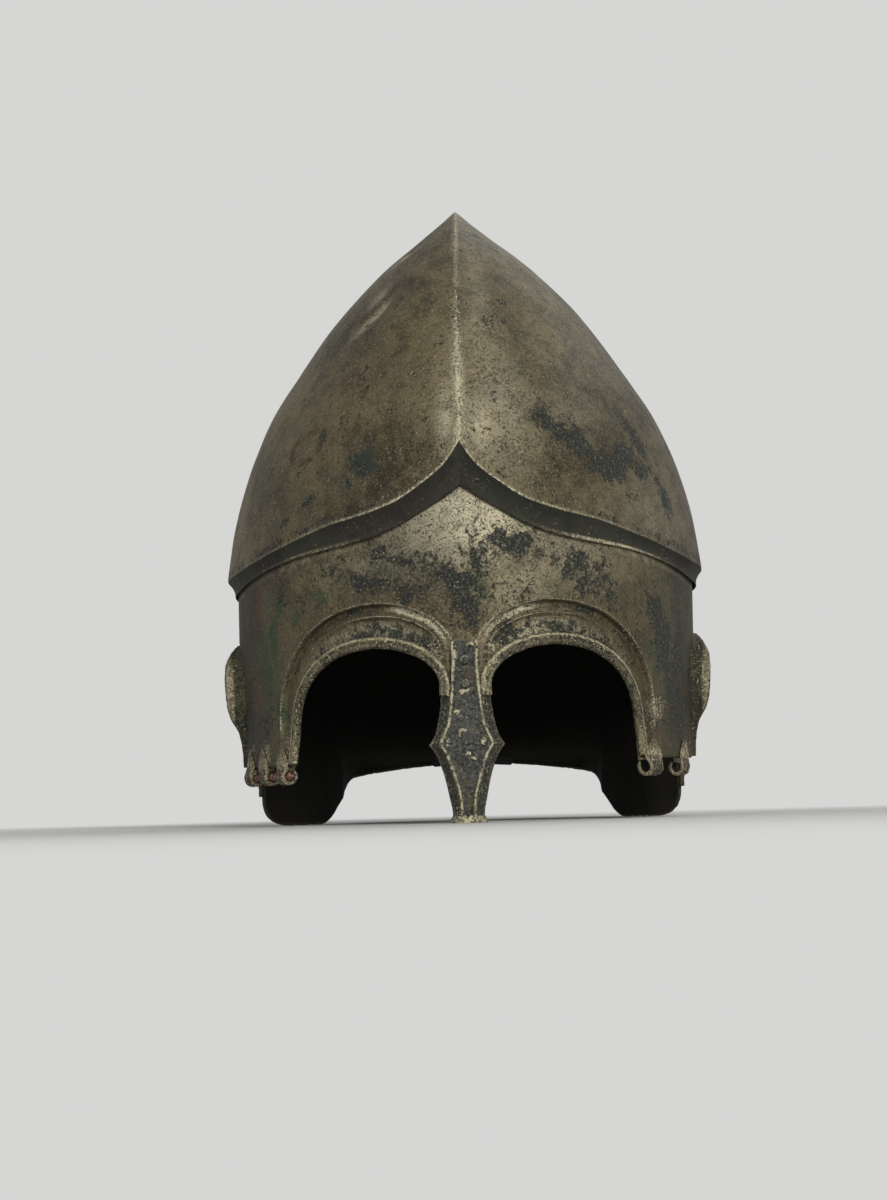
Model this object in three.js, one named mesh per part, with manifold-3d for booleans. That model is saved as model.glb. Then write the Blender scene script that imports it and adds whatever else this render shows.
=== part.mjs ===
// Chalcidian helmet of sheet bronze, with a keeled crown and no cheekpieces.
// Millimetres, +Z up, the face looks along -Y. Left and right are the viewer's.
import * as THREE from 'three';
import Module from 'manifold-3d';
import { mergeVertices } from 'three/addons/utils/BufferGeometryUtils.js';

const wasm = await Module();
wasm.setup();

// Sheets and the small gaps between neighbouring pieces
const sheet = 1.5;
const seat_gap = 0.3;

// Lower shell, measured on its outside
const face_half_width = 91;
const face_front_reach = 117;
const face_rear_reach = 107;
const brow_height = 60;
const brow_lean = 4;
const brow_lean_height = 60;

// Crown
const apex_height = 244.4;
const crown_base_height = 98;
const crown_half_width = 95;
const crown_front_reach = 122;
const crown_rear_reach = 113.5;
const keel_depth = 12;
const rim_keel_depth = 5;
const crown_profile_power = 2.1;

// Overhanging rim of the crown: heights of its corner and of its lower edge
const rim_cusp_height = 137;
const rim_side_height = 97.5;
const hem_cusp_height = 121;
const hem_side_height = 90.5;
const lap_height = 8;

// Eye openings
const eye_inner_x = 9.6;
const eye_outer_angle = 44.6;
const eye_top_angle = 22;
const eye_top_height = 64;
const eye_inner_drop = 15;
const eye_outer_drop = 27;

// Brow arches, embossed above the eyes
const brow_top_angle = 21;
const brow_top_height = 79.6;
const brow_inner_angle = 2.5;
const brow_outer_angle = 50;
const brow_inner_drop = 19;
const brow_outer_drop = 40;
const brow_depth = 2;
const brow_step_width = 3;
const nasal_fade_angle = 5;

// Tongue behind the nasal, hinge line and ear openings
const tongue_height = 44.5;
const hinge_line_height = 22.2;
const ear_front_angle = 72;
const ear_rear_angle = 96;
const ear_top_height = 72;
const ear_arch_drop = 26;

// Neck guard: the lobes it stands on and its flared nape
const lobe_corner_height = 11;
const lobe_start_angle = 103;
const lobe_end_angle = 108;
const nape_edge_height = 25;
const neck_draw = 17;
const neck_draw_top = 66;
const neck_draw_bottom = 20;
const nape_flare = 14;
const nape_crease_height = 39;

// Rims round the openings
const bead_width = 4;
const bead_height = 1.3;
const bead_overhang = 0.8;
const flange_height = 8.8;
const flange_end_height = 1.6;

// Nasal guard
const nasal_height = 64.7;
const nasal_plate = 2.2;
const nasal_depth = 6.5;
const nasal_wall = 2;
const nasal_top_width = 10.5;
const nasal_waist_width = 11.5;
const nasal_spur_height = 28;
const nasal_spur_width = 27.5;
const nasal_panel_width = 20;
const nasal_shoulder_width = 18.5;
const nasal_foot_width = 13.6;
const nasal_foot_panel_width = 7;
const nasal_foot_rise = 3;
const nasal_ankle_width = 11.8;

// Rivets through the nasal guard and the tongue
const rivet_radius = 1.3;
const rivet_head_radius = 2;
const rivet_head_height = 0.7;
const rivet_heights = [58, 49.5];

// Hinges: rolled knuckles under the edge, and the pin left in one of them
const knuckle_radius = 3.25;
const knuckle_length = 6.4;
const knuckle_tail = 7;
const knuckle_strip = 1.2;
const hinge_front_angle = 47;
const hinge_rear_angle = 68;
const pin_radius = 1.5;
const pin_overrun = 0.8;
const cut_overrun = 2;

// Places along the hinge axis, as shares of its length from the front
const knuckle_places = {
  left: { front_share: 0.1, middle_share: 0.53, rear_share: 0.92 },
  right: { front_share: 0.12, rear_share: 0.78 },
};

// Shape of the rim: angle from the front in degrees, share of the cusp's rise
const rim_rise_shares = [[0, 1], [4, 0.775], [8.5, 0.625], [15, 0.46], [23, 0.36], [32, 0.29],
  [40, 0.21], [50, 0.12], [61, 0.04], [71, 0], [180, -0.04]];
const hem_rise_shares = [[0, 1], [4.5, 0.84], [9.5, 0.69], [15, 0.54], [22, 0.42], [31.5, 0.34],
  [40.6, 0.29], [52, 0.2], [63.5, 0.1], [75, 0.02], [90, 0], [180, -0.04]];
// Half width of the crown, by its share of the height from base to apex
const crown_width_shares = [[0, 1], [0.12, 0.972], [0.26, 0.914], [0.4, 0.825], [0.54, 0.688],
  [0.68, 0.534], [0.8, 0.358], [0.9, 0.163], [1, 0]];
// How far the neck is drawn in, and how far the nape flares, round the back
const draw_shares = [[84, 0], [97, 0.35], [107, 0.95], [122, 1], [140, 0.75], [160, 0.62], [180, 0.6]];
const flare_shares = [[132, 0], [146, 0.75], [156, 1], [180, 1]];
// Lower edge of the neck guard behind its lobes, as a share of the nape's height
const nape_rise_shares = [[108, 0], [120, 0], [125, 0.1], [129, 0.27], [133, 0.44], [137, 0.6],
  [143, 0.76], [152, 0.84], [166, 0.94], [180, 1]];

const radians = THREE.MathUtils.degToRad;
const clamp = THREE.MathUtils.clamp;
const smooth = THREE.MathUtils.smoothstep;
const mix = THREE.MathUtils.lerp;

const even = (from, to, steps) => Array.from({ length: steps + 1 }, (_, i) => mix(from, to, i / steps));

// A smooth curve through hand-chosen points that never overshoots them
function through(points) {
  const slope = points.slice(1).map((p, i) => (p[1] - points[i][1]) / (p[0] - points[i][0]));
  const tangent = points.map((p, i) => {
    if (i === 0) return slope[0];
    if (i === slope.length) return slope[i - 1];
    if (slope[i - 1] * slope[i] <= 0) return 0;
    return (2 * slope[i - 1] * slope[i]) / (slope[i - 1] + slope[i]);
  });
  return (at) => {
    const inside = clamp(at, points[0][0], points[points.length - 1][0]);
    const i = Math.min(slope.length - 1, points.filter((p) => p[0] <= inside).length - 1);
    const run = points[i + 1][0] - points[i][0];
    const s = (inside - points[i][0]) / run;
    const square = s * s;
    const cube = square * s;
    return (2 * cube - 3 * square + 1) * points[i][1] + (cube - 2 * square + s) * run * tangent[i]
      + (3 * square - 2 * cube) * points[i + 1][1] + (cube - square) * run * tangent[i + 1];
  };
}

const rim_rise = through(rim_rise_shares);
const hem_rise = through(hem_rise_shares);
const crown_width = through(crown_width_shares);
const neck_share = through(draw_shares);
const flare_share = through(flare_shares);
const nape_rise = through(nape_rise_shares);

// The origin is under the middle of the helmet's length
const nasal_front_reach = face_front_reach + seat_gap + nasal_plate;
const nape_reach = face_rear_reach - neck_draw * draw_shares.at(-1)[1] + nape_flare;
const rear_reach = Math.max(crown_rear_reach, nape_reach);
const centre_y = (nasal_front_reach - rear_reach) / 2;

const rimHeight = (angle) => mix(rim_side_height, rim_cusp_height, rim_rise(angle));
const hemHeight = (angle) => mix(hem_side_height, hem_cusp_height, hem_rise(angle));

// A point at an angle from the front, on an oval with its own reach at each end
function ovalPoint(angle, half_width, front, rear, z) {
  const turn = radians(angle);
  const reach = Math.cos(turn) > 0 ? front : rear;
  return new THREE.Vector3(half_width * Math.sin(turn), centre_y - reach * Math.cos(turn), z);
}

// One quarter or the other of an arch, as how far a place lies out from its centre
function archReach(angle, z, arch) {
  const inner = angle < arch.angle;
  const half = inner ? arch.angle - arch.inner : arch.outer - arch.angle;
  const drop = inner ? arch.inner_drop : arch.outer_drop;
  const up = Math.max(0, z - (arch.top - drop)) / drop;
  return Math.hypot((angle - arch.angle) / half, up);
}

const brow = {
  angle: brow_top_angle,
  inner: brow_inner_angle,
  outer: brow_outer_angle,
  top: brow_top_height,
  inner_drop: brow_inner_drop,
  outer_drop: brow_outer_drop,
};
const brow_step_share = brow_step_width / brow_outer_drop;

// The brow is sunk inside its arch, and the sinking fades at the nasal and at the hinge
function browSink(angle, z) {
  const inside = 1 - smooth(archReach(angle, z, brow), 1 - brow_step_share, 1);
  const low = smooth(z, hinge_line_height, brow_top_height - brow_outer_drop);
  const near_nasal = smooth(angle, nasal_fade_angle, 2 * nasal_fade_angle);
  return brow_depth * inside * low * near_nasal;
}

// Outside of the lower shell
function shellPoint(angle, z) {
  const lean = brow_lean * clamp((z - brow_height) / brow_lean_height, 0, 2);
  const draw = neck_draw * neck_share(angle) * (1 - smooth(z, neck_draw_bottom, neck_draw_top));
  const crease_fall = (nape_crease_height - z) / (nape_crease_height - nape_edge_height);
  const flare = nape_flare * flare_share(angle) * clamp(crease_fall, 0, 1) ** 2;
  const out = flare - draw - browSink(angle, z);
  const front = face_front_reach - lean;
  return ovalPoint(angle, face_half_width + out, front + out, face_rear_reach + out, z);
}

// Outside of the crown: an oval with a keel in front and behind
function crownPoint(angle, z) {
  const share = clamp((z - crown_base_height) / (apex_height - crown_base_height), 0, 1);
  const width = crown_half_width * crown_width(share);
  const round = Math.sqrt(1 - share ** crown_profile_power);
  const keel = mix(rim_keel_depth, keel_depth, share) * round;
  const point = ovalPoint(angle, width, crown_front_reach * round - keel, crown_rear_reach * round - keel, z);
  const turn = radians(angle);
  point.y -= Math.sign(Math.cos(turn)) * keel * (1 - Math.sin(turn));
  return point;
}

// Outward direction of a surface, by small steps along it
const probe_angle = 0.05;
const probe_height = 0.05;
function outward(surface, angle, z) {
  const from = Math.max(0, angle - probe_angle);
  const to = Math.min(180, angle + probe_angle);
  const round = surface(to, z).sub(surface(from, z));
  const up = surface(angle, z + probe_height).sub(surface(angle, z - probe_height));
  const normal = round.cross(up).normalize();
  if (angle === 0 || angle === 180) normal.setX(0).normalize();
  return normal;
}

// The sheet's thickness is laid off level in front, where the shell stands upright
function sheetNormal(angle, z) {
  const normal = outward(shellPoint, angle, z);
  return angle < ear_front_angle ? normal.setZ(0).normalize() : normal;
}

const mirrored = (v) => new THREE.Vector3(-v.x, v.y, v.z);

// A half of the helmet's columns, from front to back, carried on round the other side
function bothSides(half) {
  const other = half.slice(1, -1).reverse().map((column) => column.map(mirrored));
  return [...half, ...other];
}

// A closed skin over columns of points; each column runs round the sheet's section
function loopSkin(columns) {
  const rows = columns[0].length;
  const points = columns.flat();
  const index = [];
  const at = (c, r) => (c % columns.length) * rows + (r % rows);
  for (let c = 0; c < columns.length; c += 1) {
    for (let r = 0; r < rows; r += 1) {
      index.push(at(c, r), at(c + 1, r), at(c + 1, r + 1));
      index.push(at(c, r), at(c + 1, r + 1), at(c, r + 1));
    }
  }
  return skin(points, index);
}

// A closed skin along a strip of like sections, whose flat ends follow a profile
function stripSkin(sections, profile) {
  const count = profile.length;
  const points = sections.flat();
  const index = [];
  for (let s = 0; s + 1 < sections.length; s += 1) {
    for (let k = 0; k < count; k += 1) {
      const a = s * count + k;
      const b = s * count + ((k + 1) % count);
      index.push(a, b, b + count, a, b + count, a + count);
    }
  }
  const last = (sections.length - 1) * count;
  const corners = profile.map(([x, y]) => new THREE.Vector2(x, y));
  for (const [a, b, c] of THREE.ShapeUtils.triangulateShape(corners, [])) {
    index.push(a, c, b, last + a, last + b, last + c);
  }
  return skin(points, index);
}

// Points that coincide become one, and triangles without area are left out
function skin(points, index) {
  const loose = new THREE.BufferGeometry();
  loose.setFromPoints(points);
  loose.setIndex(index);
  const geometry = mergeVertices(loose);
  const merged = geometry.index.array;
  const kept = [];
  for (let t = 0; t < merged.length; t += 3) {
    const [a, b, c] = merged.slice(t, t + 3);
    if (a !== b && b !== c && c !== a) kept.push(a, b, c);
  }
  geometry.setIndex(kept);
  return geometry;
}

// Booleans: a geometry becomes a solid, and a solid a geometry again
function solid(geometry) {
  const plain = geometry.clone();
  plain.deleteAttribute('normal');
  plain.deleteAttribute('uv');
  const merged = mergeVertices(plain);
  const mesh = new wasm.Mesh({
    numProp: 3,
    vertProperties: new Float32Array(merged.attributes.position.array),
    triVerts: new Uint32Array(merged.index.array),
  });
  return new wasm.Manifold(mesh);
}

function fromSolid(body) {
  const mesh = body.getMesh();
  const geometry = new THREE.BufferGeometry();
  geometry.setAttribute('position', new THREE.BufferAttribute(mesh.vertProperties, mesh.numProp));
  geometry.setIndex(new THREE.BufferAttribute(mesh.triVerts, 1));
  return geometry;
}

// Crown cap
const crown_turn = 6;
const cusp_angles = [0, 2.5, 5, 8.5, 12];
const even_angles = even(18, 180, 162 / crown_turn);
const crown_rows = 9;
const crown_row_power = 1.5;
const facet_allowance = face_front_reach * (1 - Math.cos(radians(crown_turn / 2)));
const [[tip_share, tip_width_share]] = crown_width_shares.slice(-2);
const tip_height = (1 - tip_share) * (apex_height - crown_base_height);
const crown_slope = Math.atan2(crown_half_width * tip_width_share, tip_height);

function crownColumn(angle) {
  const rim = rimHeight(angle);
  const hem = hemHeight(angle);
  const side = outward(shellPoint, angle, hem).setZ(0).normalize();
  const hem_inside = shellPoint(angle, hem).addScaledVector(side, seat_gap + facet_allowance);
  const outer = [hem_inside.clone().addScaledVector(side, sheet)];
  const inner = [hem_inside];
  for (let row = 0; row < crown_rows; row += 1) {
    const z = mix(apex_height, rim, (1 - row / crown_rows) ** crown_row_power);
    const point = crownPoint(angle, z);
    const normal = outward(crownPoint, angle, z);
    if (row === 0) normal.setZ(0).normalize();
    outer.push(point);
    inner.push(point.clone().addScaledVector(normal, -sheet));
  }
  outer.push(new THREE.Vector3(0, centre_y, apex_height));
  inner.push(new THREE.Vector3(0, centre_y, apex_height - sheet / Math.sin(crown_slope)));
  return [...outer, ...inner.reverse()];
}

const crownCap = () => loopSkin(bothSides([...cusp_angles, ...even_angles].map(crownColumn)));

// Lower edge of the lower shell: runs of angle and height, from the nasal to the nape
const degrees = THREE.MathUtils.radToDeg;
const shell_inner_angle = degrees(Math.asin((eye_inner_x - bead_overhang) / face_half_width));
const eye_steps = 6;
const ear_steps = 8;
const nape_steps = 16;
const leg_shares = [0.34, 0.67];
const eye_leg_points = leg_shares.length + 2;

function archRun(centre, half, top, drop, from, to, steps) {
  return even(from, to, steps).map(radians).map((turn) => {
    return [centre - half * Math.cos(turn), top - drop * (1 - Math.sin(turn))];
  });
}

function eyeRun() {
  const inner_half = eye_top_angle - shell_inner_angle;
  const outer_half = eye_outer_angle - eye_top_angle;
  const leg = leg_shares.map((share) => {
    return [eye_outer_angle, mix(eye_top_height - eye_outer_drop, hinge_line_height, share)];
  });
  return [[shell_inner_angle, tongue_height],
    ...archRun(eye_top_angle, inner_half, eye_top_height, eye_inner_drop, 0, 90, eye_steps),
    ...archRun(eye_top_angle, outer_half, eye_top_height, eye_outer_drop, 90, 180, eye_steps).slice(1),
    ...leg, [eye_outer_angle, hinge_line_height]];
}

function earRun() {
  const centre = (ear_front_angle + ear_rear_angle) / 2;
  const half = (ear_rear_angle - ear_front_angle) / 2;
  const spring = ear_top_height - ear_arch_drop;
  const front = leg_shares.map((share) => [ear_front_angle, mix(hinge_line_height, spring, share)]);
  const rear = leg_shares.map((share) => [ear_rear_angle, mix(spring, lobe_corner_height, share)]);
  return [[ear_front_angle, hinge_line_height], ...front,
    ...archRun(centre, half, ear_top_height, ear_arch_drop, 0, 180, ear_steps), ...rear,
    [ear_rear_angle, lobe_corner_height]];
}

const tongue_run = [[0, tongue_height], [shell_inner_angle / 2, tongue_height]];
const hinge_shares = [0.07, 0.13, 0.2, 0.4, 0.6, 0.8];
const hinge_run = hinge_shares.map((share) => {
  return [mix(eye_outer_angle, ear_front_angle, share), hinge_line_height];
});
const lobe_steps = 4;
const lobe_run = even(0, 90, lobe_steps).slice(1).map((turn) => {
  const forward = (lobe_start_angle - ear_rear_angle) * Math.cos(radians(turn));
  return [lobe_start_angle - forward, lobe_corner_height * (1 - Math.sin(radians(turn)))];
});
const nape_run = even(lobe_end_angle, 180, nape_steps)
  .map((angle) => [angle, nape_edge_height * nape_rise(angle)]);

// Each run's columns fan out to these angles at the top margin, clear of the openings
const eye_fan_angle = shell_inner_angle / 2;
const leg_fan_angle = 47;
const hinge_fan_angle = 53;
const ear_fan_angle = 66;
const lobe_fan_angle = 104;
function fanned(run, from, to) {
  return run.map(([angle, z], i) => ({ angle, z, top: mix(from, to, i / run.length) }));
}

const edge = [
  ...fanned(tongue_run, 0, eye_fan_angle),
  ...fanned(eyeRun().slice(0, -eye_leg_points), eye_fan_angle, leg_fan_angle),
  ...fanned(eyeRun().slice(-eye_leg_points), leg_fan_angle, hinge_fan_angle),
  ...fanned(hinge_run, hinge_fan_angle, ear_fan_angle),
  ...fanned(earRun(), ear_fan_angle, lobe_fan_angle),
  ...fanned([...lobe_run, ...nape_run.slice(0, -1)], lobe_fan_angle, 180),
  { angle: 180, z: nape_edge_height, top: 180 },
];

// Rows of a column, as shares of its length; two of them follow the step of the brow
const least_foot_share = 0.02;
const least_ridge_share = 0.04;
const plain_foot_share = 0.1;
const plain_ridge_share = 0.2;
const upper_rows = 4;
const halvings = 24;

function crossing(place, limit) {
  let [low, high] = [0, 1];
  for (let i = 0; i < halvings; i += 1) {
    const middle = (low + high) / 2;
    const [angle, z] = place(middle);
    if (archReach(angle, z, brow) < limit) low = middle;
    else high = middle;
  }
  return high;
}

function shellColumn({ angle, z, top }, grown) {
  const top_height = hemHeight(top) + lap_height;
  const place = (share) => [mix(angle, top, share), mix(z, top_height, share)];
  const in_brow = archReach(angle, z, brow) < 1;
  const foot = in_brow ? Math.max(crossing(place, 1 - brow_step_share), least_foot_share) : plain_foot_share;
  const ridge = in_brow ? Math.max(crossing(place, 1), least_ridge_share) : plain_ridge_share;
  const places = [0, foot / 2, foot, ...even(ridge, 1, upper_rows)].map(place);
  const skinAt = (out) => places.map((spot) => {
    return shellPoint(...spot).addScaledVector(sheetNormal(...spot), out);
  });
  return [...skinAt(grown), ...skinAt(-sheet - grown).reverse()];
}

// The lower shell, or what it takes up with a gap all round its two faces
const shellSolid = (grown) => solid(loopSkin(bothSides(edge.map((spot) => shellColumn(spot, grown)))));
const shell_room = shellSolid(seat_gap);

// A strip along part of the shell's edge; its profile is given across and out of the surface
function edgeStrip(run, profileAt) {
  const feet = run.map(([angle, z]) => shellPoint(angle, z));
  const sections = run.map(([angle, z], i) => {
    const normal = sheetNormal(angle, z);
    const ahead = feet[Math.min(i + 1, feet.length - 1)].clone().sub(feet[Math.max(i - 1, 0)]);
    const across = normal.clone().cross(ahead).normalize();
    return profileAt(z).map(([away, out]) => {
      return feet[i].clone().addScaledVector(across, away).addScaledVector(normal, out);
    });
  });
  return stripSkin(sections, profileAt(run[0][1]));
}

// Raised bead along the edge of an eye opening
const bead_profile = [[-bead_overhang, seat_gap], [0, seat_gap], [bead_width, -sheet / 3],
  [bead_width, seat_gap + bead_height / 3], [bead_width * 0.6, seat_gap + bead_height],
  [0, seat_gap + bead_height], [-bead_overhang, seat_gap + bead_height / 2]];
const eyeRim = () => edgeStrip(eyeRun(), () => bead_profile);

// Flange turned outward round an ear opening, tallest half way up
const flange_lean = 1.6;
const flange_root = 1;
function flangeProfile(z) {
  const share = clamp((z - hinge_line_height) / (ear_top_height - hinge_line_height), 0, 1);
  const out = mix(flange_end_height, flange_height, Math.sin(Math.PI * share));
  const lean = flange_lean * (out / flange_height);
  return [[-seat_gap - sheet, -sheet], [-seat_gap, -sheet], [-seat_gap, flange_root],
    [lean - seat_gap, out], [lean - seat_gap - sheet, out]];
}
const earRim = () => edgeStrip(earRun(), flangeProfile);

// Nasal guard: a plate over the tongue, opening into a channel with two spurs below it
const nasal_front_y = centre_y - nasal_front_reach;
const nasal_lap = 3;
const spur_reach = 2.6;
const spur_root_width = 24;
const nasal_throat_width = 12.6;

function nasalSection({ z, panel, flange }) {
  const back = nasal_front_y + nasal_depth;
  const inside = nasal_front_y + nasal_wall;
  const inner_panel = panel / 2 - nasal_wall / 2;
  const inner_flange = flange / 2 - nasal_wall;
  return [[-panel / 2, nasal_front_y], [panel / 2, nasal_front_y], [flange / 2, back], [inner_flange, back],
    [inner_panel, inside], [-inner_panel, inside], [-inner_flange, back], [-flange / 2, back]]
    .map(([x, y]) => new THREE.Vector3(x, y, z));
}

function nasalGuard() {
  const shoulder = tongue_height - seat_gap;
  const levels = [
    { z: 0, panel: nasal_foot_panel_width, flange: nasal_foot_width },
    { z: nasal_foot_rise, panel: nasal_foot_panel_width, flange: nasal_ankle_width },
    { z: nasal_spur_height - spur_reach, panel: nasal_panel_width, flange: spur_root_width },
    { z: nasal_spur_height, panel: nasal_panel_width, flange: nasal_spur_width },
    { z: nasal_spur_height + spur_reach, panel: nasal_panel_width, flange: spur_root_width },
    { z: shoulder, panel: nasal_throat_width, flange: nasal_shoulder_width },
  ];
  const profile = nasalSection(levels[0]).map((p) => [p.x, p.y]);
  const channel = solid(stripSkin(levels.map(nasalSection), profile));
  const guard = channel.add(nasalPlate(0, 0));
  return rivet_heights.reduce((holed, z) => holed.subtract(rivetHole(z)), guard);
}

// The plate over the tongue, or the room it needs beside and behind it
function nasalPlate(grown, deeper) {
  const low = tongue_height - seat_gap - nasal_lap;
  const outline = new THREE.Shape([
    new THREE.Vector2(-nasal_waist_width / 2 - grown, low),
    new THREE.Vector2(nasal_waist_width / 2 + grown, low),
    new THREE.Vector2(nasal_top_width / 2 + grown, nasal_height + grown),
    new THREE.Vector2(-nasal_top_width / 2 - grown, nasal_height + grown),
  ]);
  const plate = new THREE.ExtrudeGeometry(outline, { depth: nasal_plate + deeper, bevelEnabled: false });
  plate.rotateX(Math.PI / 2);
  plate.translate(0, nasal_front_y + nasal_plate + deeper, 0);
  return solid(plate);
}
const nasalRoom = () => nasalPlate(seat_gap, cut_overrun);

// Rivets, which run along Y through the plate and the tongue
const round_sides = 20;
function rivetHole(z) {
  const length = nasal_plate + sheet + 2 * cut_overrun;
  const radius = rivet_radius + seat_gap;
  const hole = new THREE.CylinderGeometry(radius, radius, length, round_sides);
  hole.translate(0, nasal_front_y + (nasal_plate + sheet) / 2, z);
  return solid(hole);
}

function rivet(z) {
  const front = nasal_front_y - seat_gap;
  const back = centre_y - face_front_reach + sheet + seat_gap;
  const profile = [[0, front - rivet_head_height], [rivet_head_radius / 2, front - rivet_head_height],
    [rivet_head_radius, front], [rivet_radius, front], [rivet_radius, back], [rivet_head_radius, back],
    [rivet_head_radius / 2, back + rivet_head_height], [0, back + rivet_head_height]];
  const body = new THREE.LatheGeometry(profile.map(([x, y]) => new THREE.Vector2(x, y)), round_sides);
  return skinned(body.translate(0, 0, z));
}

function skinned(geometry) {
  const place = geometry.attributes.position;
  const points = Array.from({ length: place.count }, (_, i) => {
    return new THREE.Vector3().fromBufferAttribute(place, i);
  });
  return skin(points, [...geometry.index.array]);
}

// Hinge knuckles and the pin, modelled on the right side; the left is its mirror image
const hinge_z = hinge_line_height - seat_gap - knuckle_radius;
const hingeEnd = (angle) => {
  const inward = outward(shellPoint, angle, hinge_line_height).setZ(0).normalize().negate();
  return shellPoint(angle, hinge_line_height).addScaledVector(inward, sheet / 2).setZ(hinge_z);
};
const hinge_start = hingeEnd(hinge_front_angle);
const hinge_span = hingeEnd(hinge_rear_angle).sub(hinge_start);
const hinge_length = hinge_span.length();
const hinge_along = hinge_span.clone().normalize();
const hinge_inward = new THREE.Vector3(0, 0, 1).cross(hinge_along);

function onHinge(geometry, share) {
  const basis = new THREE.Matrix4().makeBasis(hinge_along, hinge_inward, new THREE.Vector3(0, 0, 1));
  basis.setPosition(hinge_start.clone().addScaledVector(hinge_along, hinge_length * share));
  return geometry.applyMatrix4(basis);
}

function hingeRod(radius, length, share) {
  const rod = new THREE.CylinderGeometry(radius, radius, length, round_sides);
  return onHinge(rod.rotateZ(Math.PI / 2), share);
}

function knuckle(share) {
  const angle = mix(hinge_front_angle, hinge_rear_angle, share);
  const normal = outward(shellPoint, angle, hinge_line_height);
  const tilt = Math.abs(normal.dot(hinge_along)) * (knuckle_length / 2);
  const place = hinge_start.clone().addScaledVector(hinge_along, hinge_length * share);
  const inside = shellPoint(angle, hinge_line_height).sub(place).dot(hinge_inward) + sheet;
  const root = knuckle_radius - knuckle_strip / 2;
  const top = hinge_line_height - hinge_z + knuckle_tail;
  const tail = new THREE.BoxGeometry(knuckle_length, knuckle_strip, top - root);
  tail.translate(0, inside + seat_gap + tilt + knuckle_strip / 2, (top + root) / 2);
  const ring = solid(hingeRod(knuckle_radius, knuckle_length, share));
  const bore = solid(hingeRod(pin_radius + seat_gap, knuckle_length + 2 * cut_overrun, share));
  return fromSolid(ring.add(solid(onHinge(tail, share))).subtract(bore));
}

function hingePin() {
  const { front_share, rear_share } = knuckle_places.left;
  const length = hinge_length * (rear_share - front_share) + knuckle_length + 2 * pin_overrun;
  return skinned(hingeRod(pin_radius, length, (front_share + rear_share) / 2));
}

function mirror(geometry) {
  const flipped = geometry.clone().scale(-1, 1, 1);
  const index = [...flipped.index.array];
  for (let t = 0; t < index.length; t += 3) [index[t], index[t + 1]] = [index[t + 1], index[t]];
  flipped.setIndex(index);
  return flipped;
}

// Materials
const finish = (color, roughness, metalness) => {
  return new THREE.MeshStandardMaterial({ color, roughness, metalness });
};
const brown_bronze = finish(0x5a5040, 0.5, 0.8);
const dark_bronze = finish(0x2f3230, 0.6, 0.6);
const pale_bronze = finish(0x7a6f50, 0.6, 0.6);
const rust_bronze = finish(0x5c3a2a, 0.8, 0.4);

const helmet = new THREE.Group();
function piece(name, geometry, material) {
  const mesh = new THREE.Mesh(geometry, material);
  mesh.name = name;
  helmet.add(mesh);
}

// A piece that seats on the lower shell gives way to it and to the nasal plate
const fitted = (geometry) => fromSolid(solid(geometry).subtract(shell_room).subtract(nasalRoom()));

const face_shell = rivet_heights.reduce((shell, z) => shell.subtract(rivetHole(z)), shellSolid(0));
piece('crown_cap', crownCap(), brown_bronze);
piece('face_and_neck_shell', fromSolid(face_shell), brown_bronze);
piece('nasal_guard', fromSolid(nasalGuard()), dark_bronze);
piece('nasal_rivet_upper', rivet(rivet_heights[0]), pale_bronze);
piece('nasal_rivet_lower', rivet(rivet_heights[1]), pale_bronze);
for (const [side, turned] of [['left', mirror], ['right', (geometry) => geometry]]) {
  piece(`eye_rim_${side}`, fitted(turned(eyeRim())), pale_bronze);
  piece(`ear_rim_${side}`, fitted(turned(earRim())), pale_bronze);
  for (const [place, share] of Object.entries(knuckle_places[side])) {
    const name = `hinge_knuckle_${side}_${place.replace('_share', '')}`;
    piece(name, fitted(turned(knuckle(share))), brown_bronze);
  }
}
piece('hinge_pin_left', mirror(hingePin()), rust_bronze);

export default helmet;
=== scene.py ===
"""Looks of a Chalcidian helmet of sheet bronze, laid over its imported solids.

Metres, +Z up, the face looks along -Y. Left and right are the viewer's.
Angles are in degrees from the front, and the viewer's right is positive.
A field named span holds the two values between which something grows, from
first to last, and a field named hump holds a hump's middle and its reach.
"""

import logging
import math
from dataclasses import dataclass
from enum import Enum
from functools import cached_property
from typing import Callable, Sequence

import bmesh
import bpy
import numpy as np
from mathutils import Matrix, Vector


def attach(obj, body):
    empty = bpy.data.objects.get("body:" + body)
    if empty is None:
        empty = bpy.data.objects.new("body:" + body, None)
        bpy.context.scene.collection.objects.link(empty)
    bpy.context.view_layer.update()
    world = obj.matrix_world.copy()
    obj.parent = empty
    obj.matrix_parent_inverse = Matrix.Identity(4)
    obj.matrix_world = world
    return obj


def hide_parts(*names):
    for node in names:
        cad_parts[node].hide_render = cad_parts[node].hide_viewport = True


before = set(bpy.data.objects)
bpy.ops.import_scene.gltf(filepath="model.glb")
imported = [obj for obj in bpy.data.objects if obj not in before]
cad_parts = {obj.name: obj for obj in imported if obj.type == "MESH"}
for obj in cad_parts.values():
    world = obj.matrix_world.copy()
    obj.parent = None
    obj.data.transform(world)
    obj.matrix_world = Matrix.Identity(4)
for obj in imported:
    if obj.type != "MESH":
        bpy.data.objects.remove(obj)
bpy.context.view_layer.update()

log = logging.getLogger("helmet")

Array = np.ndarray
Surface = Callable[[Array, Array], Array]
Piece = bpy.types.Object
Material = bpy.types.Material
Socket = bpy.types.NodeSocket
Row = tuple[float, ...]
Span = tuple[float, float]
Place = tuple[float, float, float]

MM = 0.001
QUARTER_TURN = 90.0
HALF_TURN = 180.0
FULL_TURN = 360.0
UP = np.array([0.0, 0.0, 1.0])
ANGLE_PROBE = 0.05
HEIGHT_PROBE = 0.05 * MM
WELD_REACH = 0.004 * MM


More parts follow.
